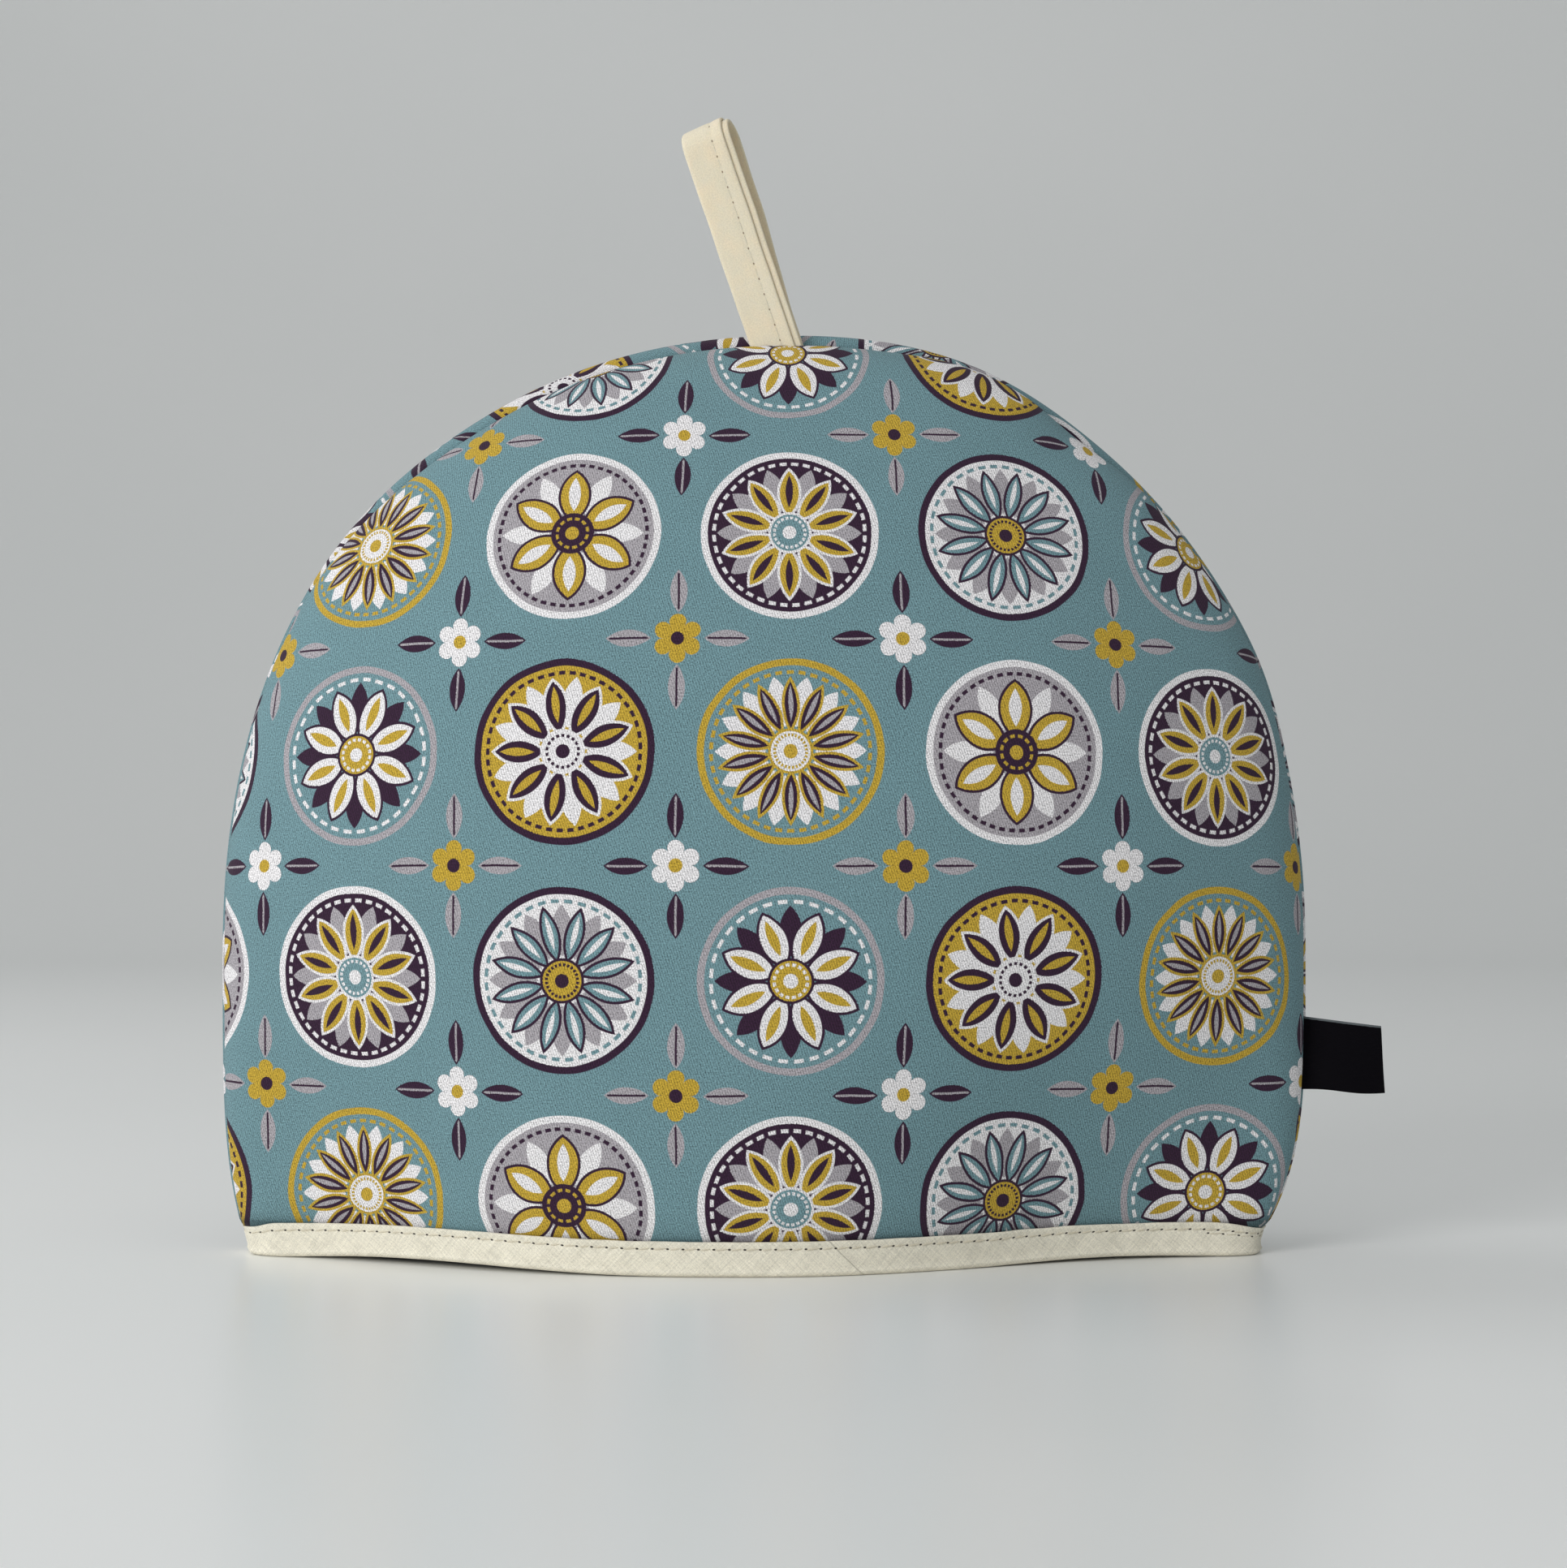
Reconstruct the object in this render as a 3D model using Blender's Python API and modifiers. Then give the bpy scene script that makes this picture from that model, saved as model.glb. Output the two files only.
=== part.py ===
"""Dome-shaped padded tea cosy that stands open on its hem.

Two padded cloth panels meet in a turned seam over the dome. A folded strip binds the hem of both, a tape
loop stands in the seam at the crest, and a folded label is caught in the right side seam.

Metres, +Z up. The front faces -Y and +X is to its right. The hem stands on z = 0, and the origin is the
middle of the object's box on that plane. Inside the functions x counts from the dome's own centre line.
"""

import math
from collections import namedtuple

import bmesh
import bpy
from mathutils import Vector

# The dome's outline, seen from the front
DOME_X = -0.0115
HALF_WIDTH = 0.165
WIDEST_HEIGHT = 0.090
CREST_HEIGHT = 0.279
ARCH_POWER = 2.2
SIDE_DRAW_IN = {-1: 0.0096, 1: 0.0190}
SIDE_DRAW_POWER = 3.2
CREST_SKEW = 0.008
CREST_SKEW_POWER = 10.0

# The padded wall, and how it rolls over at the dome's edge
WALL = 0.0065
ROLL_RUN = 0.013
ROLL_RISE = 0.007
SEAM_GAP = 0.0003
SEAM_ALLOWANCE = 0.003
CAVITY_ROLL = 0.005

# How far each panel bellies out: its depth at the hem and at its fullest, and how its hem curves in plan
Face = namedtuple("Face", "sign hem_depth full_depth roll_start bell_left bell_right")
FACES = {
    "front": Face(-1, 0.0447, 0.0514, 0.0026, 1.45, 0.92),
    "back": Face(1, 0.0430, 0.0496, None, 1.15, 1.30),
}
FULLEST_HEIGHT = 0.115
HEM_FADE_POWER = 1.6
CROWN_POWER = 2.2
LENS_POWER = 2.4
BELL_HEIGHT = 0.110

# The seam lies in a valley in front of the ridge: its depth below the ridge, and where that deepens
VALLEY_SIDE = 0.0026
VALLEY_TOP = 0.0042
VALLEY_DEEPENS = {-1: (1.35, 1.70), 1: (1.70, 1.90)}

# Soft hollows and swellings of the walls
Dent = namedtuple("Dent", "face x z reach_x reach_z depth")
DENTS = (
    Dent("front", 0.088, 0.035, 0.026, 0.050, -0.0022),
    Dent("front", -0.112, 0.060, 0.030, 0.060, -0.0012),
    Dent("front", 0.020, 0.075, 0.050, 0.030, 0.0012),
    Dent("front", 0.060, 0.205, 0.040, 0.030, -0.0012),
    Dent("front", -0.070, 0.215, 0.035, 0.035, 0.0010),
    Dent("back", -0.075, 0.050, 0.040, 0.055, -0.0020),
    Dent("back", 0.065, 0.110, 0.050, 0.040, 0.0014),
    Dent("back", 0.020, 0.200, 0.050, 0.030, -0.0012),
)

# Stretches where the hem stands clear of the table
Lift = namedtuple("Lift", "face start end height lean")
LIFTS = (
    Lift("front", -0.149, -0.038, 0.0017, 0.6),
    Lift("front", 0.060, 0.147, 0.0008, 1.0),
    Lift("back", -0.120, -0.030, 0.0010, 1.0),
    Lift("back", 0.045, 0.132, 0.0012, 1.3),
)
LIFT_FADE = 0.060

# The hem binding: a folded strip with an outer leg, a floor and an inner leg
BINDING_HEIGHT = 0.0104
BINDING_CLOTH = 0.0011
INNER_LEG_HEIGHT = 0.0092
HEM_GAP = 0.0003
HEM_SQUEEZE = 0.0016
SQUEEZE_FADE = 0.0105

# The grid: hem lines, arch steps, rows over the roll and rows across the wall
HEM_LINES = (BINDING_CLOTH + HEM_GAP, 0.0105, 0.0155, 0.0210, 0.0320, 0.0480, 0.0680)
ARCH_STEPS = 18
ROLL_STEPS = 4
WALL_ROWS = 8
WALL_ROW_POWER = 1.2
HEM_SHARE = 0.243
SLIT_TOP = 0.170
SLIT_POWER = 2.2

# The hanging loop: a folded tape, its place on the crest, its lean, its turn and the gap between its limbs
LOOP_BASE = Vector((0.0039, -0.0012, 0.2750))
LOOP_WIDTH = 0.0154
LOOP_TAPE = 0.0022
LOOP_LEAN = math.radians(18.3)
LOOP_TURN = math.radians(16.0)
LOOP_TILT_BASE = math.radians(9.0)
LOOP_TILT_TOP = math.radians(21.0)
LOOP_HEIGHT = 0.0702
LOOP_BEND_RADIUS = 0.0062
LIMB_GAP_BASE = 0.0027
LIMB_GAP_OPEN = 0.0072
LIMBS_PART_FROM = 0.0165
LIMBS_PARTED_BY = 0.0425
LIMB_STEPS = 10
LOOP_BEND_STEPS = 8

# The side label: its corners, its cloth and how far it bows forward
LABEL_TOP_LEFT = (0.1629, 0.0718)
LABEL_TOP_RIGHT = (0.1868, 0.0688)
LABEL_LOW_LEFT = (0.1624, 0.0496)
LABEL_LOW_RIGHT = (0.1880, 0.0484)
LABEL_CLOTH = 0.0010
LABEL_BOW = 0.0012
LABEL_COLUMNS = 7
LABEL_ROWS = 4

# Materials: colour, roughness
PRINT_GROUND = (0.145, 0.330, 0.375, 1.0)
BINDING_CREAM = (0.800, 0.750, 0.640, 1.0)
LOOP_CREAM = (0.780, 0.690, 0.540, 1.0)
LABEL_BLACK = (0.008, 0.005, 0.010, 1.0)
CLOTH_ROUGHNESS = 0.85
LABEL_ROUGHNESS = 0.70

WELD = 0.00001


def smooth(t):
    """A soft step from 0 to 1."""
    t = min(max(t, 0.0), 1.0)
    return t * t * (3.0 - 2.0 * t)


def side_of(x):
    return -1 if x < 0.0 else 1


def skew(z):
    """How far the dome's middle has moved to the right at a height."""
    rise = max(0.0, (z - WIDEST_HEIGHT) / (CREST_HEIGHT - WIDEST_HEIGHT))
    return CREST_SKEW * rise**CREST_SKEW_POWER


def half_width(z, side):
    """The outline's half-width at a height: drawn in towards the hem, and a rounded arch above."""
    if z <= WIDEST_HEIGHT:
        fall = (WIDEST_HEIGHT - z) / WIDEST_HEIGHT
        return HALF_WIDTH - SIDE_DRAW_IN[side] * fall**SIDE_DRAW_POWER
    rise = min(1.0, (z - WIDEST_HEIGHT) / (CREST_HEIGHT - WIDEST_HEIGHT))
    return HALF_WIDTH * (1.0 - rise**ARCH_POWER) ** (1.0 / ARCH_POWER)


def outline_point(side, q):
    """A point of the outline as (x, z): q is 0 at the hem, 1 at the widest height and 2 at the crest."""
    if q <= 1.0:
        z = q * WIDEST_HEIGHT
        return Vector((side * half_width(z, side), z))
    angle = (q - 1.0) * math.pi / 2.0
    across = abs(math.cos(angle)) / HALF_WIDTH
    up = math.sin(angle) / (CREST_HEIGHT - WIDEST_HEIGHT)
    reach = (across**ARCH_POWER + up**ARCH_POWER) ** (-1.0 / ARCH_POWER)
    z = WIDEST_HEIGHT + reach * math.sin(angle)
    return Vector((side * reach * math.cos(angle) + skew(z), z))


def outline_normal(side, q):
    step = 0.001
    along = outline_point(side, min(2.0, q + step)) - outline_point(side, max(0.0, q - step))
    along.normalize()
    return Vector((side * along.y, -side * along.x))


def slit_height(q):
    """Where the grid line that starts at q on the outline ends on the dome's centre line."""
    share = HEM_SHARE * q if q <= 1.0 else HEM_SHARE + (1.0 - HEM_SHARE) * (q - 1.0)
    return SLIT_TOP * (1.0 - (1.0 - share) ** SLIT_POWER)


def valley(side, q):
    """How far the seam lies inside the ridge of the back panel."""
    start, end = VALLEY_DEEPENS[side]
    return VALLEY_SIDE + (VALLEY_TOP - VALLEY_SIDE) * smooth((q - start) / (end - start))


def dent_depth(name, x, z):
    total = 0.0
    for dent in DENTS:
        if dent.face == name:
            away = ((x - dent.x) / dent.reach_x) ** 2 + ((z - dent.z) / dent.reach_z) ** 2
            total += dent.depth * math.exp(-away)
    return total


def belly(name, x, z):
    """How far a panel bellies out at a point of the dome: 0 at the outline, bell-shaped along the hem."""
    face = FACES[name]
    side = side_of(x - skew(z))
    across = min(1.0, abs(x - skew(z)) / max(half_width(z, side), WELD))
    if z > FULLEST_HEIGHT:
        crown = 1.0 - min(1.0, (z - FULLEST_HEIGHT) / (CREST_HEIGHT - FULLEST_HEIGHT)) ** CROWN_POWER
        depth = face.full_depth * crown
    else:
        fall = ((FULLEST_HEIGHT - z) / FULLEST_HEIGHT) ** HEM_FADE_POWER
        depth = face.full_depth + (face.hem_depth - face.full_depth) * fall
    power = face.bell_left if side < 0 else face.bell_right
    bell = 0.5 + 0.5 * math.cos(math.pi * across**power)
    lens = 1.0 - across**LENS_POWER
    shape = bell + (lens - bell) * smooth(z / BELL_HEIGHT)
    return depth * shape + dent_depth(name, x, z) * lens


def hem_lift(name, x, z):
    """How far the hem stands up from the table at x, fading out up the wall."""
    total = 0.0
    for lift in LIFTS:
        if lift.face == name and lift.start < x < lift.end:
            share = (x - lift.start) / (lift.end - lift.start)
            total += lift.height * math.sin(math.pi * share**lift.lean)
    return total * max(0.0, 1.0 - z / LIFT_FADE) ** 2


def roll_start(name, side, q):
    """The distance from the seam plane to the middle of the panel's rolled edge."""
    if FACES[name].roll_start is not None:
        return FACES[name].roll_start
    return ROLL_RISE * math.sqrt(1.0 - (1.0 - valley(side, q) / ROLL_RUN) ** 2)


def tip_inset(name, side, q):
    """How far the panel's rolled edge lies inside the outline: the back one is the outline itself."""
    if FACES[name].roll_start is None:
        return 0.0
    dip = math.asin(FACES[name].roll_start / ROLL_RISE)
    return valley(side, q) - ROLL_RUN * (1.0 - math.cos(dip))


def roll_angles(name, side, q):
    """Angles of the rows over the rolled edge, from the seam's valley to where the wall begins."""
    dip = math.asin(roll_start(name, side, q) / ROLL_RISE)
    over = [i * math.pi / 2.0 / ROLL_STEPS for i in range(ROLL_STEPS + 1)]
    return [-dip, -dip / 2.0] + over


def wall_places(start, length):
    """Distances along a grid line of the rows across the wall, closer together near the edge."""
    places = []
    for i in range(1, WALL_ROWS + 1):
        places.append(start + (length - start) * (i / WALL_ROWS) ** WALL_ROW_POWER)
    return places


class GridLine:
    """One grid line of a panel, from the outline at q to the dome's centre line."""

    def __init__(self, name, side, q, slit_z=None):
        self.name = name
        self.side = side
        self.q = q
        self.outer_end = outline_point(side, q)
        self.inner_end = Vector((0.0, slit_height(q) if slit_z is None else slit_z))
        ray = self.inner_end - self.outer_end
        self.length = ray.length
        self.slant = max(0.3, -outline_normal(side, q).dot(ray) / self.length)
        self.tip = tip_inset(name, side, q)
        self.start = roll_start(name, side, q)
        self.tip_belly = belly(name, *self.at(self.tip / self.slant))

    def at(self, along):
        return self.outer_end.lerp(self.inner_end, along / self.length)

    def middle_start(self):
        """The back panel's roll differs from place to place, and is the same at the centre line."""
        return roll_start(self.name, -1, 1.0)

    def point(self, along, rise, out):
        """A point at a distance along the line: rise is the wall's own part of its depth."""
        spot = self.at(along)
        share = along / self.length
        swell = max(0.0, belly(self.name, spot.x, spot.y) - self.tip_belly * (1.0 - share) ** 2)
        depth = rise + swell * out
        y = FACES[self.name].sign * max(depth, SEAM_GAP / 2.0)
        return Vector((spot.x, y, spot.y + hem_lift(self.name, spot.x, spot.y)))

    def base(self, along):
        share = along / self.length
        return self.start + (self.middle_start() - self.start) * share

    def outer(self, angles):
        points = []
        for angle in angles:
            along = (self.tip + ROLL_RUN * (1.0 - math.cos(angle))) / self.slant
            rise = self.base(along) + ROLL_RISE * math.sin(angle)
            points.append(self.point(along, rise, 1.0 if angle > 0.0 else 0.0))
        for along in wall_places((self.tip + ROLL_RUN) / self.slant, self.length):
            points.append(self.point(along, self.base(along) + ROLL_RISE, 1.0))
        return points

    def inner(self, angles):
        points = []
        edge = valley(self.side, self.q) + SEAM_ALLOWANCE
        for angle in angles:
            along = (edge + CAVITY_ROLL * (1.0 - math.cos(angle))) / self.slant
            rise = (self.base(along) + ROLL_RISE - WALL) * math.sin(angle)
            points.append(self.point(along, rise, math.sin(angle)))
        for along in wall_places((edge + CAVITY_ROLL) / self.slant, self.length):
            points.append(self.point(along, self.base(along) + ROLL_RISE - WALL, 1.0))
        return points


def outline_steps():
    """Values of q up one side: the hem lines, then even steps over the arch."""
    return [z / WIDEST_HEIGHT for z in HEM_LINES] + [1.0 + i / ARCH_STEPS for i in range(ARCH_STEPS + 1)]


def grid_lines(name):
    """The panel's grid lines from the left end of the hem over the crest to the right end."""
    steps = outline_steps()
    left = [GridLine(name, -1, q) for q in steps]
    right = [GridLine(name, 1, q) for q in steps[:-1]]
    return left + right[::-1]


def add_sheet(bm, lines):
    """Adds a grid of faces through lists of points of equal length, and returns its vertices."""
    columns = len(lines) - 1
    rows = len(lines[0]) - 1
    verts = bmesh.ops.create_grid(bm, x_segments=columns, y_segments=rows, size=1.0)["verts"]
    reach = max(vert.co.x for vert in verts)
    for vert in verts:
        column = round((vert.co.x / reach + 1.0) / 2.0 * columns)
        row = round((vert.co.y / reach + 1.0) / 2.0 * rows)
        vert.co = lines[column][row]
    return verts


def squeeze(bm):
    """Presses the padding in where the binding grips it."""
    bm.normal_update()
    for vert in bm.verts:
        grip = 1.0 - smooth((vert.co.z - BINDING_HEIGHT + HEM_SQUEEZE / 2.0) / SQUEEZE_FADE)
        vert.co -= vert.normal * HEM_SQUEEZE * grip


def finish_object(name, bm, material, place=(DOME_X, 0.0, 0.0)):
    """Makes a smooth-shaded object of a closed mesh whose faces point out."""
    bmesh.ops.recalc_face_normals(bm, faces=bm.faces)
    mesh = bpy.data.meshes.new(name)
    bm.to_mesh(mesh)
    bm.free()
    mesh.shade_smooth()
    mesh.materials.append(material)
    piece = bpy.data.objects.new(name, mesh)
    piece.location = place
    COLLECTION.objects.link(piece)
    return piece


def cloth_material(name, colour, roughness):
    material = bpy.data.materials.new(name)
    material.use_nodes = True
    shader = material.node_tree.nodes["Principled BSDF"]
    shader.inputs["Base Color"].default_value = colour
    shader.inputs["Roughness"].default_value = roughness
    shader.inputs["Metallic"].default_value = 0.0
    return material


def make_panel(name, face, material):
    """A padded panel: its outer skin over the roll and its cavity skin, bridged at the seam and the hem."""
    lines = grid_lines(face)
    count = ROLL_STEPS + 3
    cavity_angles = [i * math.pi / 2.0 / (count - 1) for i in range(count)]

    bm = bmesh.new()
    add_sheet(bm, [line.outer(roll_angles(face, line.side, line.q)) for line in lines])
    bmesh.ops.remove_doubles(bm, verts=bm.verts, dist=WELD)
    bmesh.ops.recalc_face_normals(bm, faces=bm.faces)
    if sum(f.normal.y * f.calc_area() for f in bm.faces) * FACES[face].sign < 0.0:
        bmesh.ops.reverse_faces(bm, faces=bm.faces)
    squeeze(bm)
    inner = add_sheet(bm, [line.inner(cavity_angles) for line in lines])
    bmesh.ops.remove_doubles(bm, verts=inner, dist=WELD)
    bmesh.ops.bridge_loops(bm, edges=[edge for edge in bm.edges if edge.is_boundary])
    return finish_object(name, bm, material)


def hem_quarter(face, side, z, skin):
    """Points of a skin along the hem at one height, from the side seam to the centre line."""
    line = GridLine(face, side, z / WIDEST_HEIGHT, slit_z=z)
    if skin == "outer":
        angles = [i * math.pi / 2.0 / ROLL_STEPS for i in range(ROLL_STEPS + 1)]
        return line.outer(angles)
    angles = [(i + 1) * math.pi / 2.0 / (ROLL_STEPS + 1) for i in range(ROLL_STEPS + 1)]
    return line.inner(angles)


def hem_ring(z, skin):
    """The closed line of a skin round the hem at one height: front from the left, then back."""
    ring = []
    for face, first in (("front", -1), ("back", 1)):
        ring += hem_quarter(face, first, z, skin)
        ring += hem_quarter(face, -first, z, skin)[-2::-1]
    return ring


def moved_out(ring, distance):
    """The ring moved square to itself in plan; a negative distance goes towards the cavity."""
    moved = []
    for i, point in enumerate(ring):
        along = ring[(i + 1) % len(ring)] - ring[i - 1]
        out = Vector((along.y, -along.x, 0.0)).normalized()
        moved.append(point + out * distance)
    return moved


def section_rings():
    """The binding's section as rings: up the inside of the outer leg, down its face, under the hem, up the
    inner leg's face and down between it and the wall."""
    gripped = -HEM_SQUEEZE + HEM_GAP
    face = gripped + BINDING_CLOTH
    fold = BINDING_CLOTH * 0.4
    top = BINDING_HEIGHT
    low = INNER_LEG_HEIGHT
    rows = (
        ("outer", gripped, BINDING_CLOTH),
        ("outer", gripped, top * 0.5),
        ("outer", gripped, top - fold),
        ("outer", (gripped + face) / 2.0, top),
        ("outer", face, top - fold),
        ("outer", face, top * 0.5),
        ("outer", face, BINDING_CLOTH),
        ("outer", gripped, 0.0),
        ("inner", -HEM_GAP, 0.0),
        ("inner", -HEM_GAP - BINDING_CLOTH, BINDING_CLOTH),
        ("inner", -HEM_GAP - BINDING_CLOTH, low * 0.5),
        ("inner", -HEM_GAP - BINDING_CLOTH, low - fold),
        ("inner", -HEM_GAP - BINDING_CLOTH / 2.0, low),
        ("inner", -HEM_GAP, low - fold),
        ("inner", -HEM_GAP, low * 0.5),
        ("inner", -HEM_GAP, BINDING_CLOTH),
    )
    return [moved_out(hem_ring(z, skin), distance) for skin, distance, z in rows]


def make_binding(material):
    """One closed strip round the hem, folded over both its sides."""
    rings = section_rings()
    closed = [ring + ring[:1] for ring in rings + rings[:1]]
    bm = bmesh.new()
    add_sheet(bm, closed)
    bmesh.ops.remove_doubles(bm, verts=bm.verts, dist=WELD)
    return finish_object("hem_binding", bm, material)


def limb_gap(up, limb_height):
    """How far the middle of the back limb stands behind the front limb's at a height."""
    parted = smooth((up - LIMBS_PART_FROM) / (LIMBS_PARTED_BY - LIMBS_PART_FROM))
    flare = 2.0 * LOOP_BEND_RADIUS - LIMB_GAP_BASE - LIMB_GAP_OPEN
    return LIMB_GAP_BASE + LIMB_GAP_OPEN * parted + flare * (up / limb_height) ** 4


def loop_path():
    """The middle of the tape as (back, up) pairs: up the front limb, over the bend, down the back limb."""
    front = -LIMB_GAP_BASE / 2.0
    radius = LOOP_BEND_RADIUS
    limb_height = LOOP_HEIGHT - LOOP_TAPE / 2.0 - radius
    heights = [limb_height * i / LIMB_STEPS for i in range(LIMB_STEPS)]
    path = [(front, up) for up in heights]
    for i in range(LOOP_BEND_STEPS + 1):
        angle = math.pi - i * math.pi / LOOP_BEND_STEPS
        path.append((front + radius + radius * math.cos(angle), limb_height + radius * math.sin(angle)))
    path += [(front + limb_gap(up, limb_height), up) for up in heights[::-1]]
    return path


def loop_axes(up):
    """The tape's width and back directions at a height: it turns more of its edge to the right."""
    share = min(1.0, up / LOOP_HEIGHT)
    tilt = LOOP_TILT_BASE + (LOOP_TILT_TOP - LOOP_TILT_BASE) * share
    width = Vector((math.cos(tilt) * math.cos(LOOP_TURN), -math.sin(LOOP_TURN), math.sin(tilt)))
    width.normalize()
    rise = Vector((-math.sin(LOOP_LEAN), 0.0, math.cos(LOOP_LEAN)))
    return width, rise, rise.cross(width).normalized()


def crest_top(x, y):
    """The height of the ridge above a point near the crest, with the gap that the loop keeps to it."""
    share = min(1.0, abs(x - CREST_SKEW) / HALF_WIDTH)
    arch = WIDEST_HEIGHT + (CREST_HEIGHT - WIDEST_HEIGHT) * (1.0 - share**ARCH_POWER) ** (1.0 / ARCH_POWER)
    back_start = ROLL_RISE * math.sqrt(1.0 - (1.0 - VALLEY_TOP / ROLL_RUN) ** 2)
    lean = max(-1.0, min(1.0, (y - back_start) / ROLL_RISE))
    back = ROLL_RUN * (1.0 - math.sqrt(1.0 - lean * lean))
    front = VALLEY_TOP - ROLL_RUN * (1.0 - math.sqrt(1.0 - (FACES["front"].roll_start / ROLL_RISE) ** 2))
    return arch - min(back, front) + 2.0 * SEAM_GAP


def make_loop(material):
    """The hanging loop: a folded tape whose two ends stand on the seam."""
    half = LOOP_WIDTH / 2.0
    path = loop_path()
    lines = []
    for back, up in path:
        width, rise, behind = loop_axes(up)
        middle = LOOP_BASE + rise * up + behind * back
        lines.append([middle + width * (half * side) for side in (-1.0, -1.0 / 3.0, 1.0 / 3.0, 1.0)])
    for line in (lines[0], lines[-1]):
        for i, point in enumerate(line):
            thick = LOOP_TAPE / 2.0
            top = max(crest_top(point.x, point.y - thick), crest_top(point.x, point.y + thick))
            line[i] = Vector((point.x, point.y, top))
    bm = bmesh.new()
    add_sheet(bm, lines)
    loop = finish_object("hanging_loop", bm, material)
    solidify = loop.modifiers.new("tape", "SOLIDIFY")
    solidify.thickness = LOOP_TAPE
    solidify.offset = 0.0
    solidify.use_even_offset = True
    return loop


def make_label(material):
    """The side label: a folded ribbon that stands out of the right seam and bows a little forward."""
    lines = []
    for column in range(LABEL_COLUMNS + 1):
        across = column / LABEL_COLUMNS
        line = []
        for row in range(LABEL_ROWS + 1):
            up = row / LABEL_ROWS
            low = Vector(LABEL_LOW_LEFT).lerp(Vector(LABEL_LOW_RIGHT), across)
            high = Vector(LABEL_TOP_LEFT).lerp(Vector(LABEL_TOP_RIGHT), across)
            spot = low.lerp(high, up)
            line.append(Vector((spot.x, -LABEL_BOW * math.sin(math.pi * across), spot.y)))
        lines.append(line)
    bm = bmesh.new()
    add_sheet(bm, lines)
    label = finish_object("side_label", bm, material)
    solidify = label.modifiers.new("ribbon", "SOLIDIFY")
    solidify.thickness = LABEL_CLOTH
    solidify.offset = 0.0
    return label


for old in list(bpy.data.objects):
    bpy.data.objects.remove(old, do_unlink=True)
COLLECTION = bpy.data.collections.new("tea_cosy")
bpy.context.scene.collection.children.link(COLLECTION)

PRINTED = cloth_material("print_cloth", PRINT_GROUND, CLOTH_ROUGHNESS)
make_panel("front_panel", "front", PRINTED)
make_panel("back_panel", "back", PRINTED.copy())
make_binding(cloth_material("binding_cotton", BINDING_CREAM, CLOTH_ROUGHNESS))
make_loop(cloth_material("loop_cotton", LOOP_CREAM, CLOTH_ROUGHNESS))
make_label(cloth_material("label_weave", LABEL_BLACK, LABEL_ROUGHNESS))
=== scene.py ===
# Padded tea cosy. Two printed cotton panels are closed over the dome by a turned seam. A bias strip binds
# the hem, a folded tape stands in the seam as a hanging loop, and a small label is caught in the right side.
# Metres, +Z up, the front towards -Y. The hem stands on z = 0.

import math
from collections import namedtuple

import bmesh
import bpy
from mathutils import Matrix, Vector, noise


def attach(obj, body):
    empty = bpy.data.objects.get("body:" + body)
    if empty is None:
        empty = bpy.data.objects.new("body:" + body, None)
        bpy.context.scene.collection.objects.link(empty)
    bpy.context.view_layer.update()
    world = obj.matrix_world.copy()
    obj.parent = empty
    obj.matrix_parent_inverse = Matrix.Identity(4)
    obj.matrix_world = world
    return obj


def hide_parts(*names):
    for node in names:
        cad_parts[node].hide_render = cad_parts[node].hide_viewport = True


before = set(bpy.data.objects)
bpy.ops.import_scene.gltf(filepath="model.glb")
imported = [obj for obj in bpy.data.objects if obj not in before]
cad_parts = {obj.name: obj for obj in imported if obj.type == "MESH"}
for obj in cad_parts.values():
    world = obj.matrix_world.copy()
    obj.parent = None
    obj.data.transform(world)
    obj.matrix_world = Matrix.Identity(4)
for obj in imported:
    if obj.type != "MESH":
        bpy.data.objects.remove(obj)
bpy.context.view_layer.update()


# Camera
# Level with the middle of the dome and about a metre in front of it, as the photograph was taken.
CAMERA_PLACE = Vector((-0.0056, -1.05, 0.1422))
FOCAL_PIXELS = 4263.0
FRAME_PIXELS = 1932.0

camera_data = bpy.data.cameras.new("camera")
camera_data.sensor_width = 36.0
camera_data.lens = camera_data.sensor_width * FOCAL_PIXELS / FRAME_PIXELS
camera = bpy.data.objects.new("camera", camera_data)
camera.location = CAMERA_PLACE
camera.rotation_euler = (math.pi / 2.0, 0.0, 0.0)
bpy.context.scene.collection.objects.link(camera)
bpy.context.scene.camera = camera


# Printed panels, front and back
# Each is printed cotton twill over wadding with a plain cotton lining, cut to a dome and turned in at its
# edge, where it is sewn to the other. The front one's edge sinks a little into the seam's valley and the
# back one's rolls forward over it. The padding bellies both out, most just below the middle.
DOME_X = -0.0115
HALF_WIDTH = 0.165
WIDEST_HEIGHT = 0.090
CREST_HEIGHT = 0.279
ARCH_POWER = 2.2
SIDE_DRAW_IN = {-1: 0.0082, 1: 0.0168}
SIDE_DRAW_POWER = 4.0
SIDE_STRAIGHT_BELOW = {-1: 0.0010, 1: 0.0050}
CREST_SKEW = 0.008
CREST_SKEW_POWER = 10.0

Trim = namedtuple("Trim", "side place reach share")
TRIMS = (
    Trim(-1, 1.66, 0.15, -0.0098),
    Trim(1, 1.63, 0.15, -0.0060),
    Trim(1, 1.33, 0.09, 0.0070),
)

WALL = 0.0065
ROLL_RUN = 0.013
ROLL_RISE = 0.007
SEAM_GAP = 0.0002
SEAM_ALLOWANCE = 0.003
CAVITY_ROLL = 0.005

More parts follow.
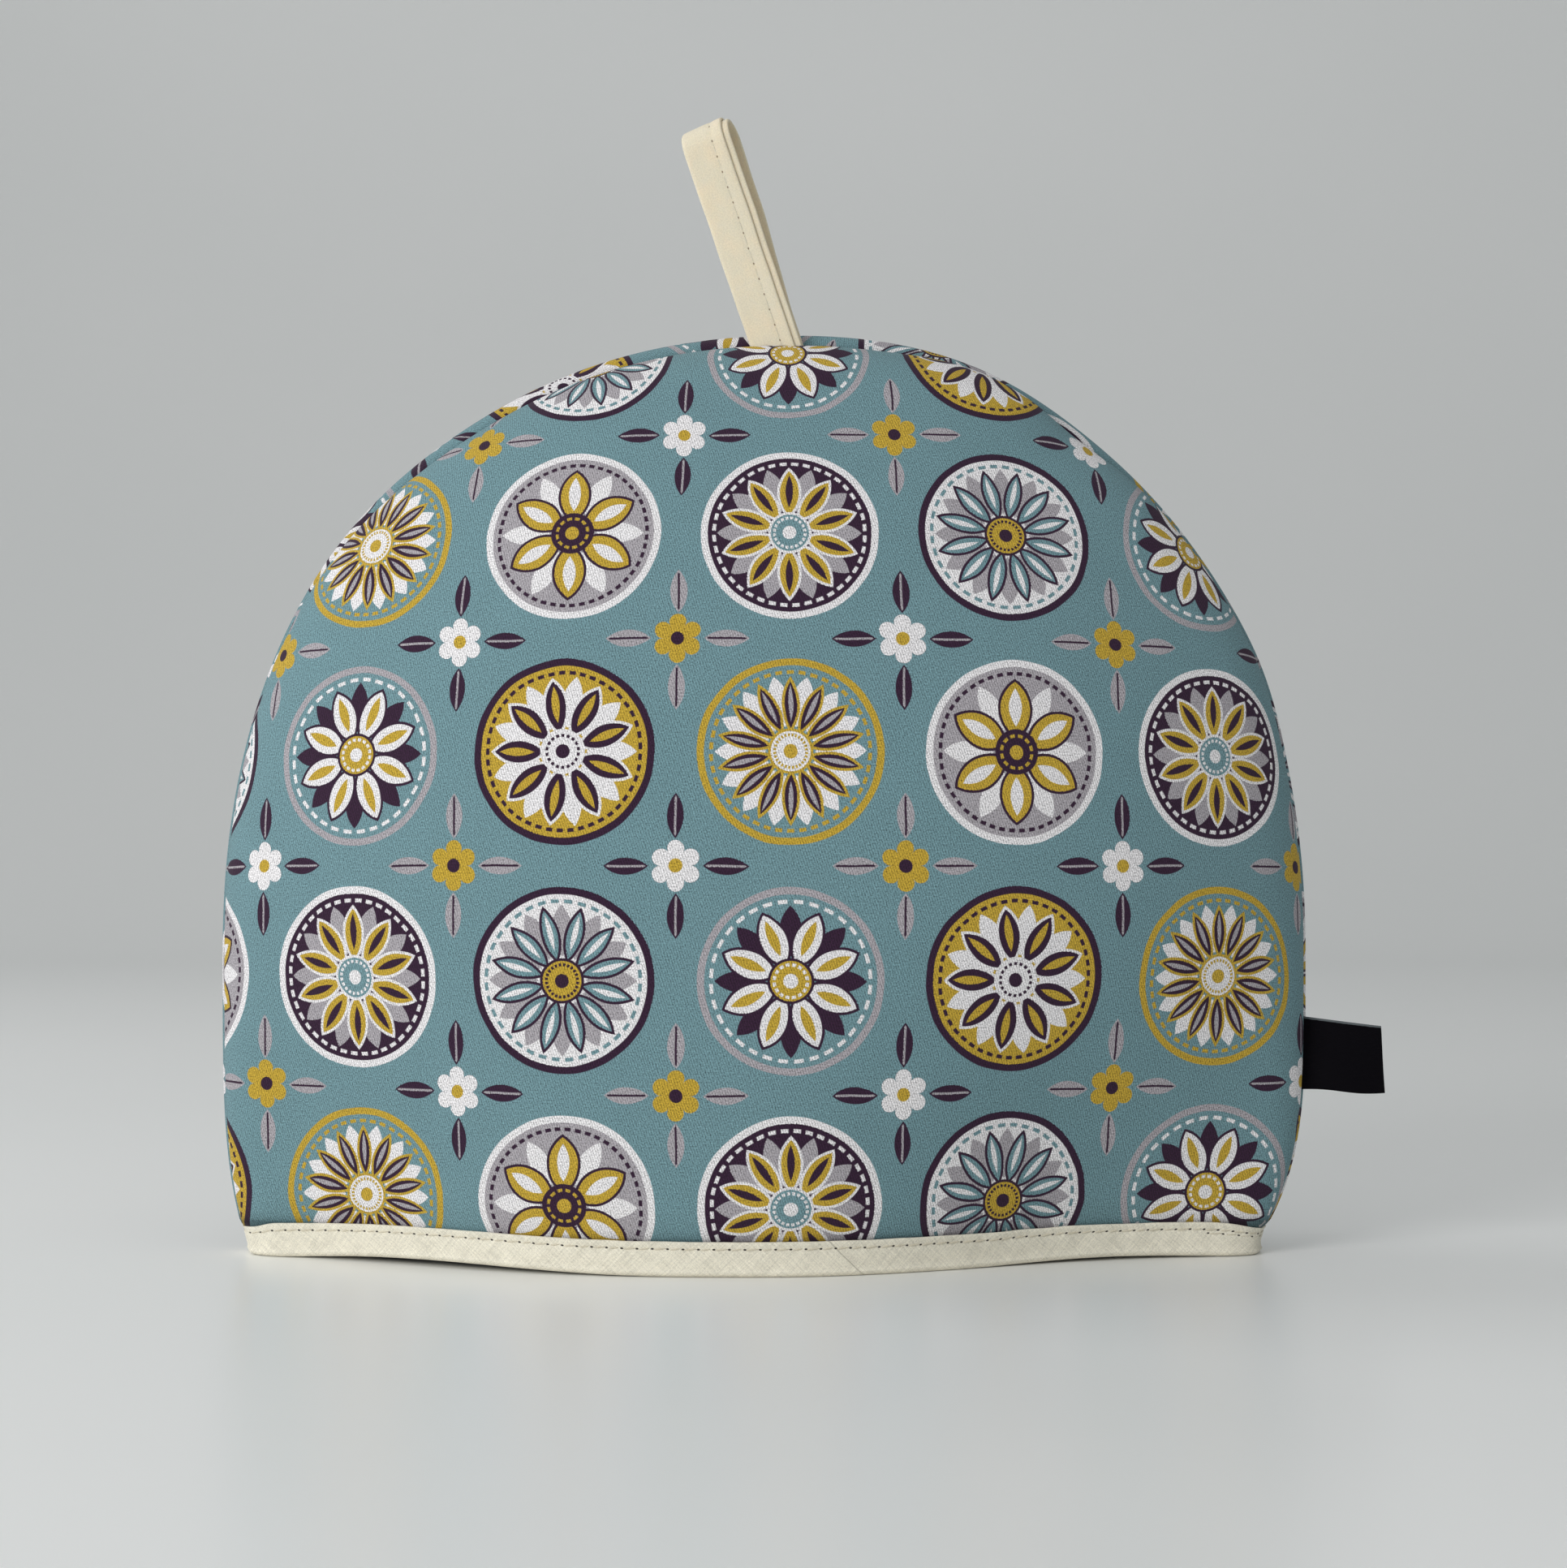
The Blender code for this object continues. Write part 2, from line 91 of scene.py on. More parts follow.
Face = namedtuple("Face", "sign hem_depth full_depth roll_start bell_left bell_right seed")
FACES = {
    "front": Face(-1, 0.0447, 0.0514, 0.0026, 1.45, 0.92, 3.0),
    "back": Face(1, 0.0430, 0.0496, None, 1.15, 1.30, 47.0),
}
FULLEST_HEIGHT = 0.115
HEM_FADE_POWER = 1.6
CROWN_POWER = 2.2
LENS_POWER = 2.4
BELL_HEIGHT = 0.110

VALLEY_SIDE = 0.0026
VALLEY_TOP = 0.0050
VALLEY_DEEPENS = {-1: (1.35, 1.70), 1: (1.77, 1.92)}
VALLEY_AT_SHOULDER = {-1: 0.0, 1: 0.0019}
SHOULDER_ROLL = (1.655, 0.055)

Dent = namedtuple("Dent", "face x z reach_x reach_z depth")
DENTS = (
    Dent("front", 0.088, 0.035, 0.026, 0.050, -0.0022),
    Dent("front", -0.112, 0.060, 0.030, 0.060, -0.0012),
    Dent("front", 0.020, 0.075, 0.050, 0.030, 0.0012),
    Dent("front", 0.060, 0.205, 0.040, 0.030, -0.0012),
    Dent("front", -0.070, 0.215, 0.035, 0.035, 0.0010),
    Dent("back", -0.075, 0.050, 0.040, 0.055, -0.0020),
    Dent("back", 0.065, 0.110, 0.050, 0.040, 0.0014),
    Dent("back", 0.020, 0.200, 0.050, 0.030, -0.0012),
)

Lift = namedtuple("Lift", "face start end height lean")
LIFTS = (
    Lift("front", -0.146, -0.020, 0.0018, 0.7),
    Lift("front", 0.055, 0.150, 0.0010, 1.0),
    Lift("back", -0.125, -0.025, 0.0012, 1.0),
    Lift("back", 0.040, 0.137, 0.0014, 1.3),
)
LIFT_FADE = 0.060

BINDING_HEIGHT = 0.0104
HEM_START = 0.0014
HEM_SQUEEZE = 0.0016
SQUEEZE_FADE = 0.0105
SQUEEZE_FADES_FROM_SEAM = 0.026
SQUEEZE_SHORTER_AT_SEAM = 0.78
GRIP_LOWER_AT_SEAM = 0.0034
HEM_SHARE = 0.243
SLIT_TOP = 0.170
SLIT_POWER = 2.2

HEM_STEPS = 46
HEM_STEP_POWER = 1.25
ARCH_STEPS = 170
VALLEY_STEPS = 4
ROLL_STEPS = 10
WALL_ROWS = 44
WALL_ROW_POWER = 1.2
MERGE_WITHIN = 1e-5

# The cloth's unevenness over the padding: long waves, small waves, puckers at the seam and pulls at the hem
Wave = namedtuple("Wave", "size flatness depth seed")
WAVES = (Wave(0.050, 0.8, 0.00045, 0.0), Wave(0.019, 0.7, 0.00016, 5.0))
WAVES_FADE_AT_SEAM = 0.012
ARCH_RUN = 0.285
PUCKER_SPACING = 0.0050
PUCKER_LENGTH = 0.020
PUCKER_DEPTH = 0.00048
PUCKER_REACH = 0.0085
PUCKER_LEAST = 0.35
SHOULDER = (1.15, 1.80)
HEM_PULL_SPACING = 0.0060
HEM_PULL_LENGTH = 0.030
HEM_PULL_DEPTH = 0.00030
HEM_PULL_REACH = 0.0075
PULLS_FADE_AT_SEAM = 0.008


def soft_step(t):
    t = min(max(t, 0.0), 1.0)
    return t * t * (3.0 - 2.0 * t)


def skew(z):
    """How far the dome's middle has moved to the right at a height."""
    rise = max(0.0, (z - WIDEST_HEIGHT) / (CREST_HEIGHT - WIDEST_HEIGHT))
    return CREST_SKEW * rise**CREST_SKEW_POWER


def half_width(z, side):
    """The outline's half-width at a height: drawn in towards the hem, and a rounded arch above."""
    if z <= WIDEST_HEIGHT:
        fall = (WIDEST_HEIGHT - max(z, SIDE_STRAIGHT_BELOW[side])) / WIDEST_HEIGHT
        return HALF_WIDTH - SIDE_DRAW_IN[side] * fall**SIDE_DRAW_POWER
    rise = min(1.0, (z - WIDEST_HEIGHT) / (CREST_HEIGHT - WIDEST_HEIGHT))
    return HALF_WIDTH * (1.0 - rise**ARCH_POWER) ** (1.0 / ARCH_POWER)


def outline_point(side, q):
    """A point of the outline as (x, z): q is 0 at the hem, 1 at the widest height and 2 at the crest."""
    if q <= 1.0:
        z = q * WIDEST_HEIGHT
        return Vector((side * half_width(z, side), z))
    angle = (q - 1.0) * math.pi / 2.0
    across = abs(math.cos(angle)) / HALF_WIDTH
    up = math.sin(angle) / (CREST_HEIGHT - WIDEST_HEIGHT)
    reach = (across**ARCH_POWER + up**ARCH_POWER) ** (-1.0 / ARCH_POWER)
    for trim in TRIMS:
        if trim.side == side:
            reach *= 1.0 + trim.share * math.exp(-(((q - trim.place) / trim.reach) ** 2))
    z = WIDEST_HEIGHT + reach * math.sin(angle)
    return Vector((side * reach * math.cos(angle) + skew(z), z))


def outline_normal(side, q):
    step = 0.001
    along = outline_point(side, min(2.0, q + step)) - outline_point(side, max(0.0, q - step))
    along.normalize()
    return Vector((side * along.y, -side * along.x))


def centre_height(q):
    """Where the grid line that starts at q on the outline ends on the dome's centre line."""
    share = HEM_SHARE * q if q <= 1.0 else HEM_SHARE + (1.0 - HEM_SHARE) * (q - 1.0)
    return SLIT_TOP * (1.0 - (1.0 - share) ** SLIT_POWER)


def valley(side, q):
    """How far the seam lies inside the ridge of the back panel."""
    start, end = VALLEY_DEEPENS[side]
    deeper = VALLEY_AT_SHOULDER[side] * math.exp(-(((q - SHOULDER_ROLL[0]) / SHOULDER_ROLL[1]) ** 2))
    return VALLEY_SIDE + (VALLEY_TOP - VALLEY_SIDE) * soft_step((q - start) / (end - start)) + deeper


def belly(name, x, z):
    """How far a panel bellies out at a point of the dome: 0 at the outline, bell-shaped along the hem."""
    face = FACES[name]
    side = -1 if x < skew(z) else 1
    across = min(1.0, abs(x - skew(z)) / max(half_width(z, side), 1e-5))
    if z > FULLEST_HEIGHT:
        crown = 1.0 - min(1.0, (z - FULLEST_HEIGHT) / (CREST_HEIGHT - FULLEST_HEIGHT)) ** CROWN_POWER
        depth = face.full_depth * crown
    else:
        fall = ((FULLEST_HEIGHT - z) / FULLEST_HEIGHT) ** HEM_FADE_POWER
        depth = face.full_depth + (face.hem_depth - face.full_depth) * fall
    bell = 0.5 + 0.5 * math.cos(math.pi * across ** (face.bell_left if side < 0 else face.bell_right))
    lens = 1.0 - across**LENS_POWER
    dents = 0.0
    for dent in DENTS:
        if dent.face == name:
            away = ((x - dent.x) / dent.reach_x) ** 2 + ((z - dent.z) / dent.reach_z) ** 2
            dents += dent.depth * math.exp(-away)
    return depth * (bell + (lens - bell) * soft_step(z / BELL_HEIGHT)) + dents * lens


def hem_lift(name, x, z):
    """How far the hem stands up from the table at x, fading out up the wall."""
    total = 0.0
    for lift in LIFTS:
        if lift.face == name and lift.start < x < lift.end:
            share = (x - lift.start) / (lift.end - lift.start)
            total += lift.height * math.sin(math.pi * share**lift.lean) ** 2
    return total * max(0.0, 1.0 - z / LIFT_FADE) ** 2


def unevenness(name, side, q, along, x, z):
    """The cloth's own waves over the padding, its puckers along the seam and its pulls above the hem."""
    seed = FACES[name].seed
    waves = 0.0
    for wave in WAVES:
        spot = Vector((x / wave.size, z / wave.size * wave.flatness, seed + wave.seed))
        waves += wave.depth * noise.noise(spot)
    in_shoulder = soft_step((q - SHOULDER[0]) * 3.0) * soft_step((SHOULDER[1] - q) * 4.0)
    place = (WIDEST_HEIGHT * q if q <= 1.0 else WIDEST_HEIGHT + ARCH_RUN * (q - 1.0)) + side * 2.0
    pucker = noise.noise(Vector((place / PUCKER_SPACING, along / PUCKER_LENGTH, seed)))
    pucker *= PUCKER_LEAST + (1.0 - PUCKER_LEAST) * in_shoulder
    pucker *= PUCKER_DEPTH * math.exp(-along / PUCKER_REACH)
    pull = noise.noise(Vector((x / HEM_PULL_SPACING, z / HEM_PULL_LENGTH, seed + 9.0)))
    pull *= HEM_PULL_DEPTH * math.exp(-max(0.0, z - BINDING_HEIGHT) / HEM_PULL_REACH)
    waves *= soft_step(along / WAVES_FADE_AT_SEAM)
    return waves + pucker + pull * soft_step(along / PULLS_FADE_AT_SEAM)


class ClothLine:
    """One grid line of a panel, from the outline at q to the dome's centre line."""

    def __init__(self, name, side, q, centre_z=None):
        self.name = name
        self.side = side
        self.q = q
        self.outer_end = outline_point(side, q)
        self.inner_end = Vector((0.0, centre_height(q) if centre_z is None else centre_z))
        ray = self.inner_end - self.outer_end
        self.length = ray.length
        self.outwards = -ray / self.length
        self.slant = max(0.3, outline_normal(side, q).dot(self.outwards))
        self.start = self.roll_start(side, q)
        self.middle_start = self.roll_start(-1, 1.0)
        self.tip = 0.0
        if FACES[name].roll_start is not None:
            dip = math.asin(self.start / ROLL_RISE)
            self.tip = valley(side, q) - ROLL_RUN * (1.0 - math.cos(dip))
        spot = self.at(self.tip / self.slant)
        self.tip_belly = belly(name, spot.x, spot.y)

    def roll_start(self, side, q):
        """The distance from the seam plane to the middle of the panel's rolled edge."""
        if FACES[self.name].roll_start is not None:
            return FACES[self.name].roll_start
        return ROLL_RISE * math.sqrt(1.0 - (1.0 - valley(side, q) / ROLL_RUN) ** 2)

    def at(self, along):
        return self.outer_end.lerp(self.inner_end, along / self.length)

    def base(self, along):
        return self.start + (self.middle_start - self.start) * along / self.length

    def point(self, along, rise, out):
        """A point at a distance along the line: rise is the wall's own part of its depth."""
        spot = self.at(along)
        share = along / self.length
        swell = max(0.0, belly(self.name, spot.x, spot.y) - self.tip_belly * (1.0 - share) ** 2)
        depth = max(rise + swell * out, SEAM_GAP / 2.0)
        lift = hem_lift(self.name, spot.x, spot.y)
        return Vector((spot.x, FACES[self.name].sign * depth, spot.y + lift))

    def wall_places(self, start):
        """Distances along the line of the rows across the wall, closer together near the edge."""
        run = self.length - start
        return [start + run * (i / WALL_ROWS) ** WALL_ROW_POWER for i in range(1, WALL_ROWS + 1)]

    def roll_angles(self):
        """Angles of the rows from the seam's valley to where the wall begins."""
        dip = math.asin(self.start / ROLL_RISE)
        below = [-dip * i / VALLEY_STEPS for i in range(VALLEY_STEPS, 0, -1)]
        return below + [i * math.pi / 2.0 / ROLL_STEPS for i in range(ROLL_STEPS + 1)]

    def outer(self, angles):
        """The outer skin's points, over the rolled edge and across the wall."""
        rows = []
        for angle in angles:
            along = (self.tip + ROLL_RUN * (1.0 - math.cos(angle))) / self.slant
            rows.append((along, math.sin(angle), 1.0 if angle > 0.0 else 0.0))
        rows += [(along, 1.0, 1.0) for along in self.wall_places((self.tip + ROLL_RUN) / self.slant)]
        points = []
        for along, risen, out in rows:
            spot = self.at(along)
            uneven = unevenness(self.name, self.side, self.q, along, spot.x, spot.y) * max(0.0, risen)
            points.append(self.point(along, self.base(along) + ROLL_RISE * risen + uneven, out))
        return points

    def inner(self, angles):
        """The cavity skin's points, from the seam allowance across the wall."""
        edge = valley(self.side, self.q) + SEAM_ALLOWANCE
        rows = [((edge + CAVITY_ROLL * (1.0 - math.cos(a))) / self.slant, math.sin(a)) for a in angles]
        rows += [(along, 1.0) for along in self.wall_places((edge + CAVITY_ROLL) / self.slant)]
        return [self.point(along, (self.base(along) + ROLL_RISE - WALL) * out, out) for along, out in rows]

    def cloth_places(self, points, centre_rise):
        """Where each point was on the flat cloth, measured outwards from the centre line, and how far it is
        from the seam."""
        runs = [0.0]
        for i in range(len(points) - 1):
            runs.append(runs[-1] + (points[i + 1] - points[i]).length)
        start = Vector((0.0, centre_rise(self.inner_end.y)))
        return [(*(start + self.outwards * (runs[-1] - run)), run) for run in runs]


def centre_rise_of(name):
    """A function that gives the cloth's height on the centre line for a height above the table."""
    step = 0.002
    heights = [0.0]
    z = 0.0
    while z < CREST_HEIGHT:
        rise = belly(name, 0.0, z + step) - belly(name, 0.0, z)
        heights.append(heights[-1] + math.hypot(step, rise))
        z += step

    def centre_rise(z):
        place = max(0.0, z / step)
        low = min(int(place), len(heights) - 2)
        return heights[low] + (heights[low + 1] - heights[low]) * (place - low)

    return centre_rise


def new_cloth():
    """An empty mesh whose points remember their place on the flat cloth, and how far they are from a seam."""
    bm = bmesh.new()
    bm.verts.layers.float_vector.new("cloth_place")
    return bm


def lay_grid(bm, lines, places):
    """A grid of faces through lists of points of equal length, each with its place on the flat cloth."""
    layer = bm.verts.layers.float_vector.get("cloth_place")
    columns = len(lines) - 1
    rows = len(lines[0]) - 1
    verts = bmesh.ops.create_grid(bm, x_segments=columns, y_segments=rows, size=1.0)["verts"]
    reach = max(vert.co.x for vert in verts)
    for vert in verts:
        column = round((vert.co.x / reach + 1.0) / 2.0 * columns)
        row = round((vert.co.y / reach + 1.0) / 2.0 * rows)
        vert.co = lines[column][row]
        vert[layer] = places[column][row]
    return verts


def spread_cloth(bm, mirrored=False):
    """Writes the flat cloth's places into a UV map, in metres."""
    layer = bm.verts.layers.float_vector.get("cloth_place")
    uv = bm.loops.layers.uv.new("cloth")
    turn = -1.0 if mirrored else 1.0
    for face in bm.faces:
        for loop in face.loops:
            loop[uv].uv = (loop.vert[layer].x * turn, loop.vert[layer].y)


def place_object(name, bm, material):
    mesh = bpy.data.meshes.new(name)
    bm.to_mesh(mesh)
    bm.free()
    mesh.shade_smooth()
    mesh.materials.append(material)
    thing = bpy.data.objects.new(name, mesh)
    bpy.context.scene.collection.objects.link(thing)
    return thing


def finish_piece(name, bm, material):
    """A smooth piece that rides with the cosy, its faces outwards and its place in its mesh."""
    bmesh.ops.recalc_face_normals(bm, faces=bm.faces)
    bmesh.ops.translate(bm, verts=bm.verts, vec=(DOME_X, 0.0, 0.0))
    piece = place_object(name, bm, material)
    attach(piece, "root")
    return piece


def grip_hem(bm):
    """Presses the wall in where the binding grips it, lower and shorter towards the side seams."""
    layer = bm.verts.layers.float_vector.get("cloth_place")
    for vert in bm.verts:
        near_seam = 1.0 - soft_step(vert[layer].z / SQUEEZE_FADES_FROM_SEAM)
        fade = SQUEEZE_FADE * (1.0 - SQUEEZE_SHORTER_AT_SEAM * near_seam)
        grip_top = BINDING_HEIGHT - HEM_SQUEEZE / 2.0 - GRIP_LOWER_AT_SEAM * near_seam
        vert.co -= vert.normal * HEM_SQUEEZE * (1.0 - soft_step((vert.co.z - grip_top) / fade))


def make_panel(name, face, material):
    """Both skins of a padded panel, bridged at the seam and under the hem."""
    steps = []
    for i in range(HEM_STEPS):
        share = (i / HEM_STEPS) ** HEM_STEP_POWER
        steps.append((HEM_START + (WIDEST_HEIGHT - HEM_START) * share) / WIDEST_HEIGHT)
    steps += [1.0 + i / ARCH_STEPS for i in range(ARCH_STEPS + 1)]
    lines = [ClothLine(face, -1, q) for q in steps] + [ClothLine(face, 1, q) for q in steps[-2::-1]]
    centre_rise = centre_rise_of(face)

    bm = new_cloth()
    lining = bm.verts.layers.float.new("lining")
    outer = [line.outer(line.roll_angles()) for line in lines]
    lay_grid(bm, outer, [line.cloth_places(row, centre_rise) for line, row in zip(lines, outer)])
    bmesh.ops.remove_doubles(bm, verts=bm.verts, dist=MERGE_WITHIN)
    bmesh.ops.recalc_face_normals(bm, faces=bm.faces)
    if sum(f.normal.y * f.calc_area() for f in bm.faces) * FACES[face].sign < 0.0:
        bmesh.ops.reverse_faces(bm, faces=bm.faces)
    bm.normal_update()
    grip_hem(bm)

    count = VALLEY_STEPS + ROLL_STEPS
    inner = [line.inner([i * math.pi / 2.0 / count for i in range(count + 1)]) for line in lines]
    verts = lay_grid(bm, inner, [line.cloth_places(row, centre_rise) for line, row in zip(lines, inner)])
    for vert in verts:
        vert[lining] = 1.0
    bmesh.ops.remove_doubles(bm, verts=verts, dist=MERGE_WITHIN)
    bmesh.ops.bridge_loops(bm, edges=[edge for edge in bm.edges if edge.is_boundary])
    spread_cloth(bm, mirrored=face == "back")
    panel = finish_piece(name, bm, material)
    return panel


class Flow:
    """A value on its way through a shader's nodes: arithmetic on it adds Math nodes."""

    def __init__(self, tree, socket):
        self.tree = tree
        self.socket = socket

    def math(self, operation, *others, clamp=False):
        node = self.tree.nodes.new("ShaderNodeMath")
        node.operation = operation
        node.use_clamp = clamp
        for entry, value in zip(node.inputs, (self, *others)):
            plug(value, entry)
        return Flow(self.tree, node.outputs[0])

    def __add__(self, other):
        return self.math("ADD", other)

    def __sub__(self, other):
        return self.math("SUBTRACT", other)

    def __rsub__(self, other):
        return self.math("MULTIPLY_ADD", -1.0, other)

    def __mul__(self, other):
        return self.math("MULTIPLY", other)

    def __truediv__(self, other):
        return self.math("DIVIDE", other)

    def __abs__(self):
        return self.math("ABSOLUTE")

    __radd__ = __add__
    __rmul__ = __mul__

    def floor(self):
        return self.math("FLOOR")

    def within(self, softness):
        """A mask that is 1 where the value is above 0, with an edge as wide as softness."""
        return self.math("MULTIPLY_ADD", 1.0 / softness, 0.5, clamp=True)


def plug(value, socket):
    """Sets a node's input, or links a flow to it."""
    if isinstance(value, Flow):
        value.tree.links.new(value.socket, socket)
    else:
        socket.default_value = value


def reach(across, up):
    return (across * across + up * up).math("SQRT")


def add_node(tree, kind, **values):
    """A node of a kind. Values named with a capital go to its inputs, and the others are its settings."""
    node = tree.nodes.new("ShaderNode" + kind)
    for name, value in values.items():
        if name[0].isupper():
            plug(value, node.inputs[name])
        else:
            setattr(node, name, value)
    return node


def flow_from(tree, kind, output, **values):
    return Flow(tree, add_node(tree, kind, **values).outputs[output])


def parts_of(tree, vector):
    node = add_node(tree, "SeparateXYZ", Vector=vector)
    return [Flow(tree, node.outputs[axis]) for axis in "XYZ"]


def blend_colours(tree, mask, under, over, blend_type="MIX"):
    """One colour over another by a mask. A colour is a flow or three numbers."""
    node = add_node(tree, "Mix", data_type="RGBA", blend_type=blend_type)
    plug(mask, node.inputs["Factor"])
    for index, colour in ((6, under), (7, over)):
        plug(colour if isinstance(colour, Flow) else (*colour, 1.0), node.inputs[index])
    return Flow(tree, node.outputs[2])


def shade(tree, colour, tone):
    """A colour made lighter or darker by a factor."""
    grey = flow_from(tree, "CombineColor", "Color", Red=tone, Green=tone, Blue=tone)
    return blend_colours(tree, 1.0, colour, grey, "MULTIPLY")


def pick(tree, kind, count, colours):
    """The colour of each kind, from a table of constant steps."""
    node = add_node(tree, "ValToRGB", Fac=(kind + 0.5) / count)
    steps = node.color_ramp
    steps.interpolation = "CONSTANT"
    while len(steps.elements) < count:
        steps.elements.new(1.0)
    for i, colour in enumerate(colours):
        steps.elements[i].position = i / count
        steps.elements[i].color = (*colour, 1.0)
    return Flow(tree, node.outputs["Color"])


def pick_number(tree, kind, count, numbers):
    """The number of each kind. The table keeps shares of the largest, and a factor restores the size."""
    largest = max(numbers)
    return pick(tree, kind, count, [(number / largest,) * 3 for number in numbers]) * largest


def new_group(name, inputs, outputs):
    """An empty node group with named sockets, plain numbers apart from a Place and a Color: its tree, its
    inputs as flows, and the sockets it gives out."""
    tree = bpy.data.node_groups.new(name, "ShaderNodeTree")
    for in_out, labels in (("INPUT", inputs), ("OUTPUT", outputs)):
        for label in labels:
            kind = {"Place": "Vector", "Color": "Color"}.get(label, "Float")
            tree.interface.new_socket(label, in_out=in_out, socket_type="NodeSocket" + kind)
    entry = tree.nodes.new("NodeGroupInput")
    leave = tree.nodes.new("NodeGroupOutput")
    return tree, [Flow(tree, entry.outputs[label]) for label in inputs], leave.inputs


def use_group(tree, group, **inputs):
    """A group's node in a tree, with its outputs as flows by name."""
    node = add_node(tree, "Group", node_tree=group, **inputs)
    return {output.name: Flow(tree, output) for output in node.outputs}


def new_material(name):
    material = bpy.data.materials.new(name)
    material.use_nodes = True
    return material, material.node_tree, material.node_tree.nodes["Principled BSDF"]


# How a cloth looks. Its tone is a base and shares of its effects. Its relief is such shares too, as bump of a
# depth in metres. Its roughness has a share of the dye's grain.
Finish = namedtuple("Finish", "base tone roughness grain sheen gloss relief depth")


def add_up(base, effects, shares):
    """A base value with each named effect added by its share."""
    for name, share in shares.items():
        base = effects[name] * share + base
    return base


def finish_cloth(tree, shader, finish, effects):
    """The roughness, sheen, gloss and relief of a matt cloth."""
    rough = effects["Grain"] * finish.grain + finish.roughness if finish.grain else finish.roughness
    plug(rough, shader.inputs["Roughness"])
    shader.inputs["Sheen Weight"].default_value = finish.sheen
    shader.inputs["Sheen Roughness"].default_value = 0.6
    shader.inputs["Specular IOR Level"].default_value = finish.gloss
    relief = add_up(0.0, effects, finish.relief)
    plug(flow_from(tree, "Bump", "Normal", Height=relief, Distance=finish.depth), shader.inputs["Normal"])


def cloth_uv(tree):
    """The place on the flat cloth, in metres, as a vector and as its two parts."""
    place = flow_from(tree, "UVMap", "UV", uv_map="cloth")
    across, up, _ = parts_of(tree, place)
    return place, across, up


def noise_of(tree, place, per_metre, detail=1.0, output="Fac"):
    return flow_from(tree, "TexNoise", output, Vector=place, Scale=per_metre, Detail=detail)


GRAIN_PER_METRE = 2100.0
CLOUD_PER_METRE = 90.0


def make_flecks():
    """The uneven dyeing of printed cotton: fine grain and slower clouds, both about 0."""
    tree, (place,), leave = new_group("dye_flecks", ("Place",), ("Grain", "Cloud"))
    plug(noise_of(tree, place, GRAIN_PER_METRE) - 0.5, leave["Grain"])
    plug(noise_of(tree, place, CLOUD_PER_METRE, 2.0) - 0.5, leave["Cloud"])
    return tree


TWILL_PER_METRE = 1316.0
TWILL_LEAN = 0.325
TWILL_WANDER = (320.0, 0.4)
YARN_PER_METRE = 1750.0
YARN_LEAN = 0.1
YARN_STEP = 0.37
BEAD_HEIGHT = 0.1
DIP_BELOW = 0.40
DIP_EDGE = 0.45
BEAD_IN_DIP = 0.20


def make_twill():
    """Steep twill lines with a dip between them, broken up along their length by the yarns across."""
    tree, (place,), leave = new_group("twill", ("Place",), ("Height", "Dip"))
    across, up, _ = parts_of(tree, place)
    wander = (noise_of(tree, place, TWILL_WANDER[0]) - 0.5) * TWILL_WANDER[1]
    line = (across + up * TWILL_LEAN) * TWILL_PER_METRE + wander
    ridge = abs((line * math.pi).math("SINE"))
    yarn = ((up + across * YARN_LEAN) * YARN_PER_METRE + line.floor() * YARN_STEP) * (2.0 * math.pi)
    bead = yarn.math("SINE") * 0.5 + 0.5
    plug(ridge * (1.0 - BEAD_HEIGHT) + bead * BEAD_HEIGHT, leave["Height"])
    # Dip marks the dips between the twill lines, where the print paints shade.
    plug((DIP_BELOW - ridge).within(DIP_EDGE) * (bead * BEAD_IN_DIP + (1.0 - BEAD_IN_DIP)), leave["Dip"])
    return tree


# The print: round flowers on an upright grid, of inks like the photographed cloth's. Sizes in millimetres.
TEAL = (0.163, 0.287, 0.319)
MUSTARD = (0.525, 0.350, 0.040)
PLUM = (0.034, 0.0123, 0.034)
GREY = (0.388, 0.363, 0.388)
WHITE = (0.800, 0.780, 0.790)
NATURAL = (0.640, 0.565, 0.420)

PRINT_PITCH = 66.0
PRINT_START = (8.0, 20.0)
EDGE_SOFTNESS = 0.22
HAND_WOBBLE = 0.9
GRAIN_AT_EDGES = 0.3
FLOWER_RADIUS = 27.0
DISC_RADIUS = 24.9
DASH_RADIUS = 22.9
DASH_HALF_WIDTH = 0.55
PETAL_OUTLINE = 0.8
SHADE_PETAL = (14.5, 7.4, 3.1)
DASH_SHARE = 0.30
VEIN_SHIFT = 0.6
VEIN_SHARE = 0.62
EYE_RADIUS = 6.6
EYE_RING = (4.7, 0.45)
EYE_DOT = 2.1

Flower = namedtuple("Flower", "petals middle length width mark dashes border disc dash shade petal outline "
                              "vein eye dot")
FLOWERS = (
    Flower(10, 13.0, 8.6, 3.6, 1.1, 40, WHITE, PLUM, WHITE, GREY, MUSTARD, WHITE, PLUM, TEAL, WHITE),
    Flower(12, 13.6, 8.4, 2.9, 0.8, 36, PLUM, WHITE, TEAL, GREY, TEAL, PLUM, WHITE, MUSTARD, PLUM),
    Flower(8, 12.6, 8.8, 4.5, 1.5, 32, GREY, TEAL, WHITE, PLUM, WHITE, PLUM, MUSTARD, MUSTARD, WHITE),
    Flower(9, 13.2, 8.6, 3.9, 1.2, 45, PLUM, MUSTARD, PLUM, WHITE, PLUM, WHITE, MUSTARD, WHITE, PLUM),
    Flower(14, 13.4, 8.2, 2.6, 0.7, 42, MUSTARD, TEAL, MUSTARD, WHITE, PLUM, MUSTARD, GREY, WHITE, MUSTARD),
    Flower(6, 12.4, 9.0, 5.2, 1.9, 48, WHITE, GREY, PLUM, WHITE, MUSTARD, PLUM, WHITE, PLUM, MUSTARD),
)
SPRIG_LEAF = (14.4, 6.6, 2.5)
LEAF_RIB = 0.32
